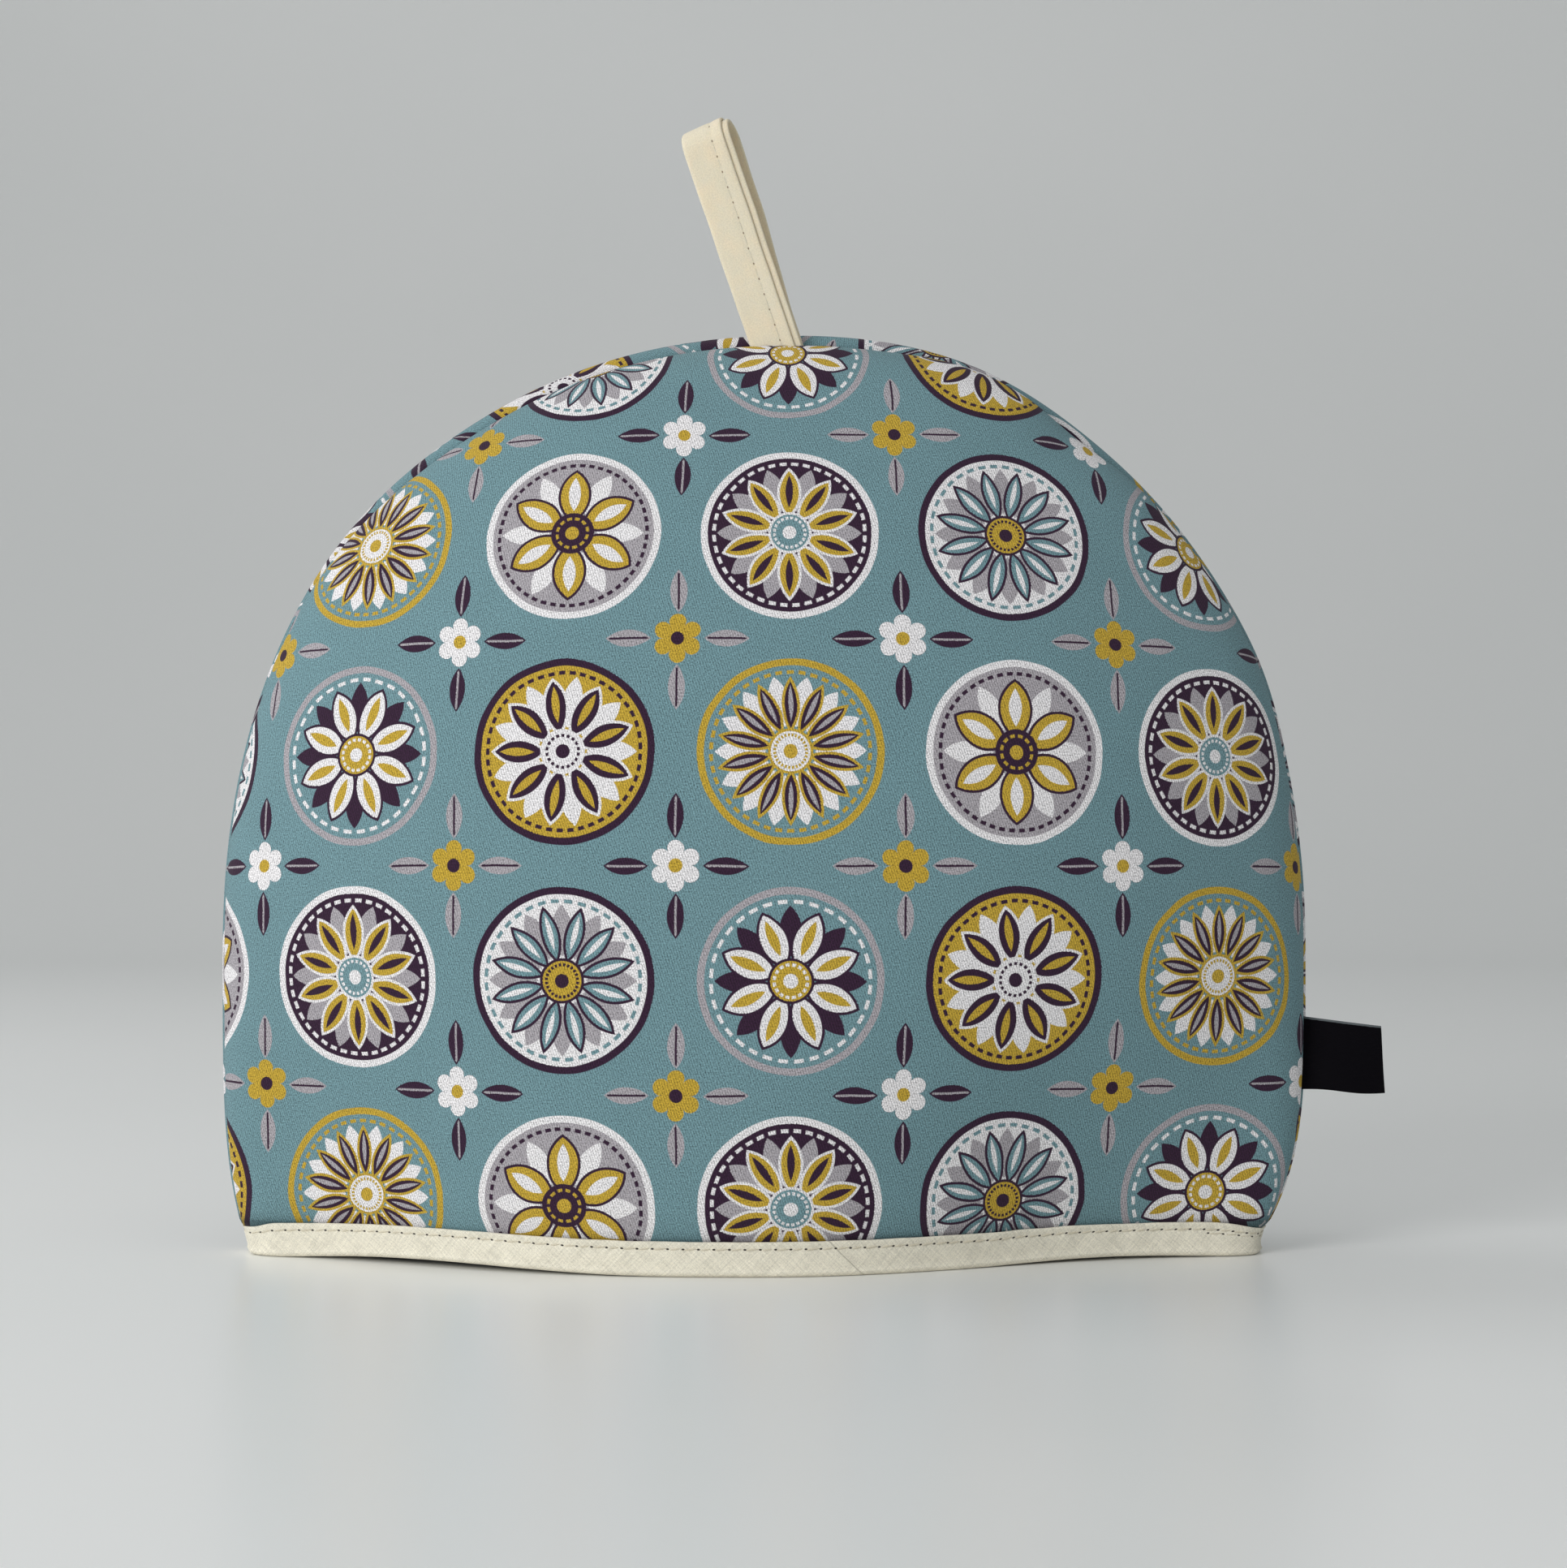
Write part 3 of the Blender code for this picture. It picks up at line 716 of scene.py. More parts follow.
FLORET_PETAL = (4.9, 2.5)
FLORET_MIDDLE = 4.2
FLORET_EYE = 2.0


def petal_depth(along, across, middle, length, width):
    """How far a point lies inside a pointed petal that two arcs bound: numbers or flows."""
    radius = (length * length + width * width) / (width * 2.0)
    return radius - reach(abs(across) + (radius - width), along - middle)


def turn_into_sector(angle, distance, count, shift):
    """A point's place along and across the nearest of count rays round the middle."""
    turns = angle * count / (2.0 * math.pi) + shift
    local = (turns - turns.floor() - 0.5) * (2.0 * math.pi) / count
    return distance * local.math("COSINE"), distance * local.math("SINE"), turns


def dashed(turns, softness):
    """A mask of dashes, one for each turn."""
    return (DASH_SHARE - abs(turns - turns.floor() - 0.5)).within(softness)


def ink_over(tree, colour, depth, ink):
    """An ink over a colour wherever the depth inside its shape is above 0."""
    return blend_colours(tree, depth.within(EDGE_SOFTNESS), colour, ink)


def make_flower():
    """One round flower for each kind, from its place in millimetres about its own middle."""
    tree, (across, up, kind), leave = new_group("round_flower", ("Across", "Up", "Kind"), ("Color", "Cover"))
    numbers = {}
    for field in ("petals", "middle", "length", "width", "mark", "dashes"):
        numbers[field] = pick_number(tree, kind, len(FLOWERS), [getattr(flower, field) for flower in FLOWERS])
    inks = {}
    for field in ("border", "disc", "dash", "shade", "petal", "outline", "vein", "eye", "dot"):
        inks[field] = pick(tree, kind, len(FLOWERS), [getattr(flower, field) for flower in FLOWERS])

    distance = reach(across, up)
    angle = up.math("ARCTAN2", across)
    colour = ink_over(tree, inks["border"], DISC_RADIUS - distance, inks["disc"])
    dashes = dashed(angle * numbers["dashes"] / (2.0 * math.pi), 0.08)
    ring = (DASH_HALF_WIDTH - abs(distance - DASH_RADIUS)).within(EDGE_SOFTNESS)
    colour = blend_colours(tree, dashes * ring, colour, inks["dash"])

    petals = numbers["petals"].math("ROUND")
    along, aside, turns = turn_into_sector(angle, distance, petals, 0.5)
    shaded = petal_depth(along, aside, *SHADE_PETAL)
    along, aside, turns = turn_into_sector(angle, distance, petals, 0.0)
    petal = petal_depth(along, aside, numbers["middle"], numbers["length"], numbers["width"])
    vein = petal_depth(along, aside, numbers["middle"] + VEIN_SHIFT, numbers["length"] * VEIN_SHARE,
                       numbers["mark"])
    shapes = ((shaded, "shade"), (petal, "outline"), (petal - PETAL_OUTLINE, "petal"), (vein, "vein"),
              (EYE_RADIUS - distance, "outline"), (EYE_RADIUS - PETAL_OUTLINE - distance, "eye"))
    for depth, ink in shapes:
        colour = ink_over(tree, colour, depth, inks[ink])
    ring = (EYE_RING[1] - abs(distance - EYE_RING[0])).within(EDGE_SOFTNESS)
    colour = blend_colours(tree, ring * dashed(turns * 2.0, 0.12), colour, inks["dot"])
    plug(ink_over(tree, colour, EYE_DOT - distance, inks["dot"]), leave["Color"])
    plug((FLOWER_RADIUS - distance).within(EDGE_SOFTNESS), leave["Cover"])
    return tree


def make_floret():
    """The small flower and its four leaves between the round flowers."""
    tree, (across, up, kind), leave = new_group("floret", ("Across", "Up", "Kind"), ("Color", "Cover"))
    distance = reach(across, up)
    angle = up.math("ARCTAN2", across)
    petal, eye, leaf, rib = [pick(tree, kind, 2, inks) for inks in
                             ((WHITE, MUSTARD), (MUSTARD, PLUM), (PLUM, GREY), (GREY, PLUM))]
    along, aside, turns = turn_into_sector(angle, distance, 4.0, 0.5)
    depth = petal_depth(along, aside, *SPRIG_LEAF)
    midrib = (LEAF_RIB - abs(aside)).within(EDGE_SOFTNESS) * (depth - 0.5).within(EDGE_SOFTNESS)
    colour = blend_colours(tree, midrib, leaf, rib)
    along, aside, turns = turn_into_sector(angle, distance, 6.0, 0.0)
    bloom = FLORET_PETAL[1] - reach(along - FLORET_PETAL[0], aside)
    bloom = bloom.math("MAXIMUM", FLORET_MIDDLE - distance)
    colour = ink_over(tree, colour, bloom, petal)
    plug(ink_over(tree, colour, FLORET_EYE - distance, eye), leave["Color"])
    plug(depth.math("MAXIMUM", bloom).within(EDGE_SOFTNESS), leave["Cover"])
    return tree


THREAD_WANDER = (260.0, 0.0004)
STREAK_PER_METRE = (110.0, 1900.0)
SLUB_FROM = 0.60
SLUB_STEEP = 6.0


def make_plain_weave():
    """Over and under threads of a plain weave, turned by an angle, with a thicker thread here and there."""
    tree, (place, per_metre, turn), leave = new_group("plain_weave", ("Place", "Threads", "Turn"),
                                                      ("Height", "Slub", "Streak"))
    turned = flow_from(tree, "VectorRotate", "Vector", rotation_type="Z_AXIS", Vector=place, Angle=turn)
    across, up, _ = parts_of(tree, turned)
    wander = (noise_of(tree, place, THREAD_WANDER[0]) - 0.5) * THREAD_WANDER[1]
    warp, weft = [abs(((part + wander) * per_metre * math.pi).math("SINE")) for part in (across, up)]
    plug(warp * 0.5 + weft * 0.5, leave["Height"])
    threads = []
    for along, aside in ((across, up), (up, across)):
        stretched = flow_from(tree, "CombineXYZ", "Vector", X=along * STREAK_PER_METRE[0],
                              Y=aside * STREAK_PER_METRE[1])
        threads.append(noise_of(tree, stretched, 1.0))
    slubs = [(thread - SLUB_FROM).math("MULTIPLY", SLUB_STEEP, clamp=True) for thread in threads]
    plug(slubs[0].math("MAXIMUM", slubs[1]), leave["Slub"])
    plug(threads[0] + threads[1] - 1.0, leave["Streak"])
    return tree


FLECKS = make_flecks()
TWILL = make_twill()
FLOWER = make_flower()
FLORET = make_floret()
PLAIN_WEAVE = make_plain_weave()

# Painted shade at the seam's valley and above the binding: how far it reaches, and how dark it is at most.
CREASE_REACH = 0.0013
CREASE_DARK = 0.55
LINING_SLUB = (0.42, 0.35, 0.235)
LINING_THREADS = 2100.0
WOBBLE_PER_METRE = 75.0
# The tone's Dip share is painted shade in the twill's dips; its Grain and Cloud are the dye's own.
PRINT_FINISH = Finish(base=1.04, tone={"Grain": 1.7, "Cloud": 0.10, "Dip": -0.40}, roughness=0.88, grain=0.10,
                      sheen=0.06, gloss=0.2, relief={"Height": 1.0, "Cloud": 2.0}, depth=0.00006)


def painted_crease_shade(tree):
    """Painted shade: a factor that darkens the cloth towards the seam's valley and where the binding grips
    it.
    """
    from_seam = parts_of(tree, flow_from(tree, "Attribute", "Vector", attribute_name="cloth_place"))[2]
    height = parts_of(tree, flow_from(tree, "TexCoord", "Object"))[2]
    grip = ((height - BINDING_HEIGHT) / -CREASE_REACH).math("MINIMUM", 0.0)
    dark = (from_seam / -CREASE_REACH).math("EXPONENT") + grip.math("EXPONENT")
    return 1.0 - dark.math("MINIMUM", 1.0) * CREASE_DARK


def make_print():
    """Both faces of the panels' cloth: the printed twill outside and the plain natural lining inside."""
    material, tree, shader = new_material("printed_twill")
    place, across, up = cloth_uv(tree)
    effects = {**use_group(tree, FLECKS, Place=place), **use_group(tree, TWILL, Place=place)}

    wobble = parts_of(tree, noise_of(tree, place, WOBBLE_PER_METRE, output="Color"))
    grain = effects["Grain"] * GRAIN_AT_EDGES
    x, y = [part * 1000.0 - start + (shift - 0.5) * HAND_WOBBLE + grain
            for part, start, shift in zip((across, up), PRINT_START, wobble)]
    column = (x / PRINT_PITCH + 0.5).floor()
    row = (y / PRINT_PITCH + 0.5).floor()
    kind = (column + row * 2.0).math("FLOORED_MODULO", float(len(FLOWERS)))
    flower = use_group(tree, FLOWER, Across=x - column * PRINT_PITCH, Up=y - row * PRINT_PITCH, Kind=kind)
    corner = (x / PRINT_PITCH).floor()
    shelf = (y / PRINT_PITCH).floor()
    kind = (corner + shelf).math("FLOORED_MODULO", 2.0)
    floret = use_group(tree, FLORET, Across=x - (corner + 0.5) * PRINT_PITCH,
                       Up=y - (shelf + 0.5) * PRINT_PITCH, Kind=kind)
    colour = blend_colours(tree, floret["Cover"], TEAL, floret["Color"])
    colour = blend_colours(tree, flower["Cover"], colour, flower["Color"])

    # Tone from the dye's grain and clouds, with painted shade in the twill's dips.
    dye_and_dip_shade = add_up(PRINT_FINISH.base, effects, PRINT_FINISH.tone)
    # Painted shade darkens the print towards the seam's valley and above the binding.
    printed = shade(tree, colour, dye_and_dip_shade * painted_crease_shade(tree))
    weave = use_group(tree, PLAIN_WEAVE, Place=place, Threads=LINING_THREADS, Turn=0.0)
    lining = blend_colours(tree, weave["Slub"] * 0.5 + effects["Grain"] * 0.4, NATURAL, LINING_SLUB)
    inside = flow_from(tree, "Attribute", "Fac", attribute_name="lining")
    plug(blend_colours(tree, inside, printed, lining), shader.inputs["Base Color"])
    finish_cloth(tree, shader, PRINT_FINISH, effects)
    return material


PRINTED_TWILL = make_print()
front = make_panel("padded_front", "front", PRINTED_TWILL)
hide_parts("front_panel")
back = make_panel("padded_back", "back", PRINTED_TWILL)
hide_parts("back_panel")


# Hem binding
# One strip of natural cream cotton, cut on the bias so that it bends, folded over the raw hems of both
# panels and sewn through all the layers with one row of long stitches.
BINDING_CLOTH = 0.0011
INNER_LEG_HEIGHT = 0.0092
HEM_GAP = 0.0003
HEM_SLICES = (0.0, 0.0035, 0.0070, 0.0105)
BINDING_COLUMNS = 690
FACE_ROWS = 20
INNER_ROWS = 4
BOTTOM_ROLL = 0.0013
STITCH_LENGTH = 0.0044
STITCH_DROP = 0.0022
STITCH_GROOVE = 0.00028
GROOVE_REACH = 0.0010
GROOVE_SWING = 0.3
BIAS_RIPPLE = (0.0065, 0.00017)
SLOW_RIPPLE = (0.028, 0.00022)
TOP_WANDER = (0.011, 0.00022)
THREAD_RADIUS = 0.00021
THREAD_SHARE = 0.80
THREAD_SLANT = 0.00022
SECOND_ROW = (0.3080, 0.3325)
SECOND_SHIFT = 0.45
SECOND_DROP = 0.0011
BOTTOM_LIP = (0.0013, 0.0006, 0.00040)
CORNER_NARROWS = {"left": 0.16, "right": 0.24}
CORNER_REACH = {"left": 0.011, "right": 0.018}
BIAS_JOIN = (0.1911, 0.0042)


def hem_quarter(face, side, z, skin):
    """Points of a skin along the hem at one height, from the side seam to the centre line."""
    line = ClothLine(face, side, z / WIDEST_HEIGHT, centre_z=z)
    if skin == "outer":
        return line.outer([i * math.pi / 2.0 / ROLL_STEPS for i in range(ROLL_STEPS + 1)])
    return line.inner([(i + 1) * math.pi / 2.0 / (ROLL_STEPS + 1) for i in range(ROLL_STEPS + 1)])


def hem_ring(z, skin):
    """The closed line of a skin round the hem at one height: front from the left, then back."""
    ring = []
    for face, first in (("front", -1), ("back", 1)):
        ring += hem_quarter(face, first, z, skin)
        ring += hem_quarter(face, -first, z, skin)[-2::-1]
    return ring


def even_places(ring, count):
    """Fractions of the ring's own numbering that cut it into equal lengths, and its whole length."""
    runs = [0.0]
    for i, point in enumerate(ring):
        runs.append(runs[-1] + (ring[(i + 1) % len(ring)] - point).length)
    places = []
    low = 0
    for k in range(count):
        want = runs[-1] * k / count
        while runs[low + 1] < want:
            low += 1
        places.append(low + (want - runs[low]) / (runs[low + 1] - runs[low]))
    return places, runs[-1]


class HemLine:
    """The line round the hem, with a square way out at each place, on the outer or the inner skin."""

    def __init__(self, skin, places):
        self.slices = []
        for z in HEM_SLICES:
            ring = hem_ring(z, skin)
            low = [int(place) for place in places]
            spots = [ring[i].lerp(ring[(i + 1) % len(ring)], place - i) for i, place in zip(low, places)]
            self.slices.append(spots)
        count = len(places)
        self.ways_out = []
        for k in range(count):
            along = self.slices[1][(k + 3) % count] - self.slices[1][k - 3]
            self.ways_out.append(Vector((along.y, -along.x, 0.0)).normalized())
        self.right_corner = max(range(count), key=lambda k: self.slices[1][k].x)

    def at(self, k, z, out):
        step = HEM_SLICES[1]
        low = min(int(max(0.0, z) / step), len(HEM_SLICES) - 2)
        spot = self.slices[low][k].lerp(self.slices[low + 1][k], (z - HEM_SLICES[low]) / step)
        return spot + self.ways_out[k] * out


# Degrees round each fold of the strip, how loosely its parts lie, and the round of its tucked-in corner
TOP_FOLD = (180, 135, 90, 45)
BOTTOM_FOLD = (30, 60, 90)
INNER_FOLD = (135, 90, 45)
BOTTOM_LOOSE = 0.3
INNER_LOOSE = -0.5
TUCKED_CORNER = (0.6, 0.3)
RIPPLE_BY_HEIGHT = 0.006
SLOW_BY_HEIGHT = 0.010


def fold_over(skin, out, z, loose, degrees):
    """Rows round a fold of the strip about a line at a distance from the skin."""
    radius = BINDING_CLOTH / 2.0
    turns = [math.radians(degree) for degree in degrees]
    return [(skin, out + radius * math.cos(turn), z + radius * math.sin(turn), loose) for turn in turns]


def binding_section():
    """Rows round the folded strip: the skin that each follows, its distance from it, its height and how
    loosely it lies."""
    gripped = HEM_GAP - HEM_SQUEEZE
    face = gripped + BINDING_CLOTH
    half = BINDING_CLOTH / 2.0
    rows = [("outer", gripped, BINDING_CLOTH, 0.0), ("outer", gripped, BINDING_HEIGHT / 2.0, 0.0)]
    rows += fold_over("outer", gripped + half, BINDING_HEIGHT - half, 1.0, TOP_FOLD)
    for i in range(FACE_ROWS + 1):
        z = BINDING_HEIGHT - half + (BOTTOM_ROLL - BINDING_HEIGHT + half) * i / FACE_ROWS
        rows.append(("outer", face, z, 1.0))
    for degrees in BOTTOM_FOLD:
        turn = math.radians(degrees)
        rows.append(("outer", face - BOTTOM_ROLL * (1.0 - math.cos(turn)),
                     BOTTOM_ROLL * (1.0 - math.sin(turn)), BOTTOM_LOOSE))
    inside = -HEM_GAP - BINDING_CLOTH
    rows.append(("inner", -HEM_GAP, 0.0, 0.0))
    rows.append(("inner", inside + half * TUCKED_CORNER[0], half * TUCKED_CORNER[1], 0.0))
    for i in range(INNER_ROWS + 1):
        z = BINDING_CLOTH + (INNER_LEG_HEIGHT - half - BINDING_CLOTH) * i / INNER_ROWS
        rows.append(("inner", inside, z, INNER_LOOSE))
    rows += fold_over("inner", inside + half, INNER_LEG_HEIGHT - half, INNER_LOOSE, INNER_FOLD)
    return rows + [("inner", -HEM_GAP, INNER_LEG_HEIGHT / 2.0, 0.0), ("inner", -HEM_GAP, BINDING_CLOTH, 0.0)]


# The cloth's own height is counted from the top fold, and down its face
TOP_FOLD_UP = -(BINDING_HEIGHT - BINDING_CLOTH / 2.0 - BINDING_CLOTH + BINDING_CLOTH / 2.0 * math.pi / 2.0)


def binding_spot(hem_lines, k, row, length, stitch):
    """Where a row of the binding lies at a column: rippled, drawn in along its stitches, and lower where it
    turns a corner."""
    skin, out, z, loose = row
    run = length * k / BINDING_COLUMNS
    from_left = min(run, length - run) / CORNER_REACH["left"]
    from_right = (run - length * hem_lines["outer"].right_corner / BINDING_COLUMNS) / CORNER_REACH["right"]
    narrow = CORNER_NARROWS["left"] * math.exp(-(from_left**4))
    narrow += CORNER_NARROWS["right"] * math.exp(-(from_right**4))
    turn = 2.0 * math.pi * run / length
    ring = Vector((math.cos(turn), math.sin(turn), 0.0)) * length / (2.0 * math.pi)
    ripple = BIAS_RIPPLE[1] * noise.noise(ring / BIAS_RIPPLE[0] + Vector((z, 0.0, z)) / RIPPLE_BY_HEIGHT)
    slow_place = ring / SLOW_RIPPLE[0] + Vector((0.0, 0.0, 4.0 + z / SLOW_BY_HEIGHT))
    ripple += SLOW_RIPPLE[1] * noise.noise(slow_place)
    below = z - (BINDING_HEIGHT - STITCH_DROP)
    groove = math.exp(-((below / GROOVE_REACH) ** 2))
    groove *= 1.0 - GROOVE_SWING - GROOVE_SWING * math.cos(2.0 * math.pi * run / stitch)
    wander = TOP_WANDER[1] * noise.noise(ring / TOP_WANDER[0]) * soft_step(z / BINDING_HEIGHT)
    middle, reach_of_lip, swell = BOTTOM_LIP
    lip = swell * math.exp(-(((z - middle) / reach_of_lip) ** 2))
    away = out + (ripple - STITCH_GROOVE * groove + lip) * loose
    return hem_lines[skin].at(k, z * (1.0 - narrow), away) + Vector((0.0, 0.0, wander * abs(loose)))


def lay_threads(name, stitches, radius, material):
    """Stitches as short rounded threads: each is the two ends of its thread and the way out of the cloth."""
    bm = bmesh.new()
    for start, end, out in stitches:
        along = (end - start).normalized()
        side = out.cross(along).normalized()
        up = along.cross(side)
        axes = Matrix((along * (end - start).length / 2.0, side * radius, up * radius)).transposed()
        place = axes.to_4x4()
        place.translation = (start + end) / 2.0
        bmesh.ops.create_uvsphere(bm, u_segments=8, v_segments=6, radius=1.0, matrix=place)
    return finish_piece(name, bm, material)


HOLE_EDGE = 0.00016
HOLE_LENGTH = 0.62


def make_needle_holes():
    """A mask of small holes, a stitch apart, along a row, where the cloths paint the shade inside them."""
    tree, (along, aside, pitch, size), leave = new_group("needle_holes", ("Along", "Aside", "Pitch", "Reach"),
                                                         ("Mask",))
    local = along - (along / pitch + 0.5).floor() * pitch
    plug((size - reach(local * HOLE_LENGTH, aside)).within(HOLE_EDGE), leave["Mask"])
    return tree


TWIST_PER_METRE = 3200.0
THREAD_CREAMS = ((0.50, 0.45, 0.34), (0.80, 0.74, 0.60))
THREAD_FINISH = Finish(base=1.0, tone={}, roughness=0.70, grain=0.0, sheen=0.05, gloss=0.2,
                       relief={"Twist": 1.0}, depth=0.00004)


def make_sewing_thread():
    """Cream sewing thread with a fine twist."""
    material, tree, shader = new_material("sewing_thread")
    twist = noise_of(tree, flow_from(tree, "TexCoord", "Object"), TWIST_PER_METRE, 0.0)
    plug(blend_colours(tree, twist, *THREAD_CREAMS), shader.inputs["Base Color"])
    finish_cloth(tree, shader, THREAD_FINISH, {"Twist": twist})
    return material


NEEDLE_HOLES = make_needle_holes()
SEWING_THREAD = make_sewing_thread()
BINDING_CREAM = (0.810, 0.765, 0.635)
BINDING_STITCH_UP = BINDING_CLOTH / 2.0 * math.pi / 2.0 + STITCH_DROP - BINDING_CLOTH / 2.0
# Painted shade inside the needle holes
HOLE_SHADE = (0.035, 0.028, 0.024)
HOLE_SIZE = 0.00027
SECOND_HOLE_SIZE = 0.00024
JOIN_HALF_WIDTH = 0.00045
JOIN_SHADOW = (0.0005, 0.00022, 0.25)
JOIN_DARK = (0.42, 0.38, 0.30)
BINDING_THREADS = 2300.0
BINDING_PATCHES = 240.0
BINDING_FINISH = Finish(
    base=0.92, tone={"Height": 0.12, "Grain": 0.50, "Patches": 0.20, "Cloud": 0.10, "Streak": 0.42},
    roughness=0.86, grain=0.10, sheen=0.08, gloss=0.2,
    relief={"Height": 0.5, "Slub": 0.6, "Holes": -2.0, "Join": 3.0}, depth=0.00006)


def make_bias_cotton(stitch):
    """Fine plain cotton on the bias: faint crossing threads, thicker ones here and there, needle holes
    painted dark as the shade in them, and the slanting line where two strips join, with a painted shadow
    beside it."""
    material, tree, shader = new_material("bias_cotton")
    place, across, up = cloth_uv(tree)
    effects = use_group(tree, PLAIN_WEAVE, Place=place, Threads=BINDING_THREADS, Turn=math.pi / 4.0)
    effects.update(use_group(tree, FLECKS, Place=place))
    effects["Patches"] = noise_of(tree, place, BINDING_PATCHES, 2.0) - 0.5
    colour = shade(tree, BINDING_CREAM, add_up(BINDING_FINISH.base, effects, BINDING_FINISH.tone))

    aside = up - BINDING_STITCH_UP
    holes = use_group(tree, NEEDLE_HOLES, Along=across, Aside=aside, Pitch=stitch, Reach=HOLE_SIZE)
    again = use_group(tree, NEEDLE_HOLES, Along=across - SECOND_SHIFT * stitch, Aside=aside - SECOND_DROP,
                      Pitch=stitch, Reach=SECOND_HOLE_SIZE)
    start, end = SECOND_ROW
    there = across.math("GREATER_THAN", start) * across.math("LESS_THAN", end)
    effects["Holes"] = holes["Mask"].math("MAXIMUM", again["Mask"] * there)

    slant = across - up - (BIAS_JOIN[0] - BIAS_JOIN[1])
    effects["Join"] = (JOIN_HALF_WIDTH - abs(slant)).within(JOIN_HALF_WIDTH)
    shift, half_width_of_shadow, strength = JOIN_SHADOW
    shadow = (half_width_of_shadow - abs(slant - shift)).within(0.00025) * strength
    colour = blend_colours(tree, shadow, colour, JOIN_DARK)
    # Painted shade: the needle holes are darkened to the shade inside them.
    plug(blend_colours(tree, effects["Holes"], colour, HOLE_SHADE), shader.inputs["Base Color"])
    finish_cloth(tree, shader, BINDING_FINISH, effects)
    return material


def lay_sheet(lines, places):
    """A mesh of one sheet of cloth through lists of points, joined where its edges meet."""
    bm = new_cloth()
    lay_grid(bm, lines, places)
    spread_cloth(bm)
    bmesh.ops.remove_doubles(bm, verts=bm.verts, dist=MERGE_WITHIN / 10.0)
    return bm


def make_binding():
    """The strip and its row of threads."""
    reference = hem_ring(HEM_SLICES[1], "outer")
    places, length = even_places(reference, BINDING_COLUMNS)
    stitch = length / round(length / STITCH_LENGTH)
    hem_lines = {skin: HemLine(skin, places) for skin in ("outer", "inner")}
    rows = binding_section()
    lines = []
    places_on_cloth = []
    middle = BINDING_COLUMNS // 4
    up = TOP_FOLD_UP
    for row in rows + rows[:1]:
        line = [binding_spot(hem_lines, k, row, length, stitch) for k in range(BINDING_COLUMNS)]
        if lines:
            up += (line[middle] - lines[-1][middle]).length
        lines.append(line + line[:1])
        places_on_cloth.append([(length * k / BINDING_COLUMNS, up, 0.0) for k in range(BINDING_COLUMNS + 1)])
    binding = finish_piece("bias_binding", lay_sheet(lines, places_on_cloth), make_bias_cotton(stitch))

    stitches = []
    second_start, second_end = [round(run / stitch) for run in SECOND_ROW]
    for first, last, shift, drop in ((0, round(length / stitch), 0.0, 0.0),
                                     (second_start, second_end, SECOND_SHIFT, SECOND_DROP)):
        row = ("outer", HEM_GAP - HEM_SQUEEZE + BINDING_CLOTH, BINDING_HEIGHT - STITCH_DROP - drop, 1.0)
        for i in range(first, last):
            ends = []
            for share, rise in (((1.0 - THREAD_SHARE) / 2.0, -THREAD_SLANT),
                                ((1.0 + THREAD_SHARE) / 2.0, THREAD_SLANT)):
                k = round((i + shift + share) * stitch / length * BINDING_COLUMNS) % BINDING_COLUMNS
                ends.append(binding_spot(hem_lines, k, row, length, stitch) + Vector((0.0, 0.0, rise)))
            stitches.append((ends[0], ends[1], hem_lines["outer"].ways_out[k]))
    threads = lay_threads("binding_stitches", stitches, THREAD_RADIUS, SEWING_THREAD)
    return binding, threads, length


binding, binding_threads, hem_length = make_binding()
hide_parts("hem_binding")


# Hanging loop
# A cream cotton tape folded lengthwise and stitched near its open edges, bent over into a loop that leans
# to the left, with both its ends caught in the seam at the crest.
LOOP_BASE = Vector((0.0039, -0.0012, 0.2750))
LOOP_WIDTH = 0.0154
UPPER_PLY = 0.0136
LOOP_TAPE = 0.0022
PLY_GAP = 0.00007
LOOP_LEAN = math.radians(18.9)
LOOP_TURN = math.radians(16.0)
LOOP_TILT_BASE = math.radians(9.0)
LOOP_TILT_TOP = math.radians(21.0)
LOOP_HEIGHT = 0.0713
LOOP_BEND_RADIUS = 0.0062
LIMB_GAP_BASE = 0.0027
LIMB_GAP_OPEN = 0.0072
LIMBS_PART_FROM = 0.0010
LIMBS_PARTED_BY = 0.0440
LIMB_STEPS = 60
BEND_STEPS = 26
LOOP_SUNK = 0.0035
LOOP_STITCH = 0.0049
LOOP_STITCH_PLACE = 0.635
LOOP_ROW = LOOP_WIDTH * (LOOP_STITCH_PLACE - 0.5)
LOOP_GROOVE = 0.00022
LOOP_THREAD_RADIUS = 0.00014
UNDER_STEPS = 12
OVER_STEPS = 17
EDGE_EASE = 0.0004
GROOVE_WIDTH = 0.0009
SLIT_IN = 0.0006
LOWER_LIP = (0.0005, 0.00004)
# The two plies' edges as (back from the edge, share of the tape's half thickness)
UPPER_EDGE = ((0.0001, 0.80), (0.0, 0.45), (0.0001, 0.12))
LOWER_EDGE = ((0.0001, -0.28), (0.0, -0.55), (0.0001, -0.85))
TAPE_SWAY = (0.013, 0.00022)
TAPE_WAVE = (0.008, 0.006, 0.00016)


def limb_gap(up, limb_height):
    """How far the middle of the back limb stands behind the front limb's at a height."""
    parted = soft_step((up - LIMBS_PART_FROM) / (LIMBS_PARTED_BY - LIMBS_PART_FROM))
    flare = 2.0 * LOOP_BEND_RADIUS - LIMB_GAP_BASE - LIMB_GAP_OPEN
    return LIMB_GAP_BASE + LIMB_GAP_OPEN * parted + flare * (max(0.0, up) / limb_height) ** 4


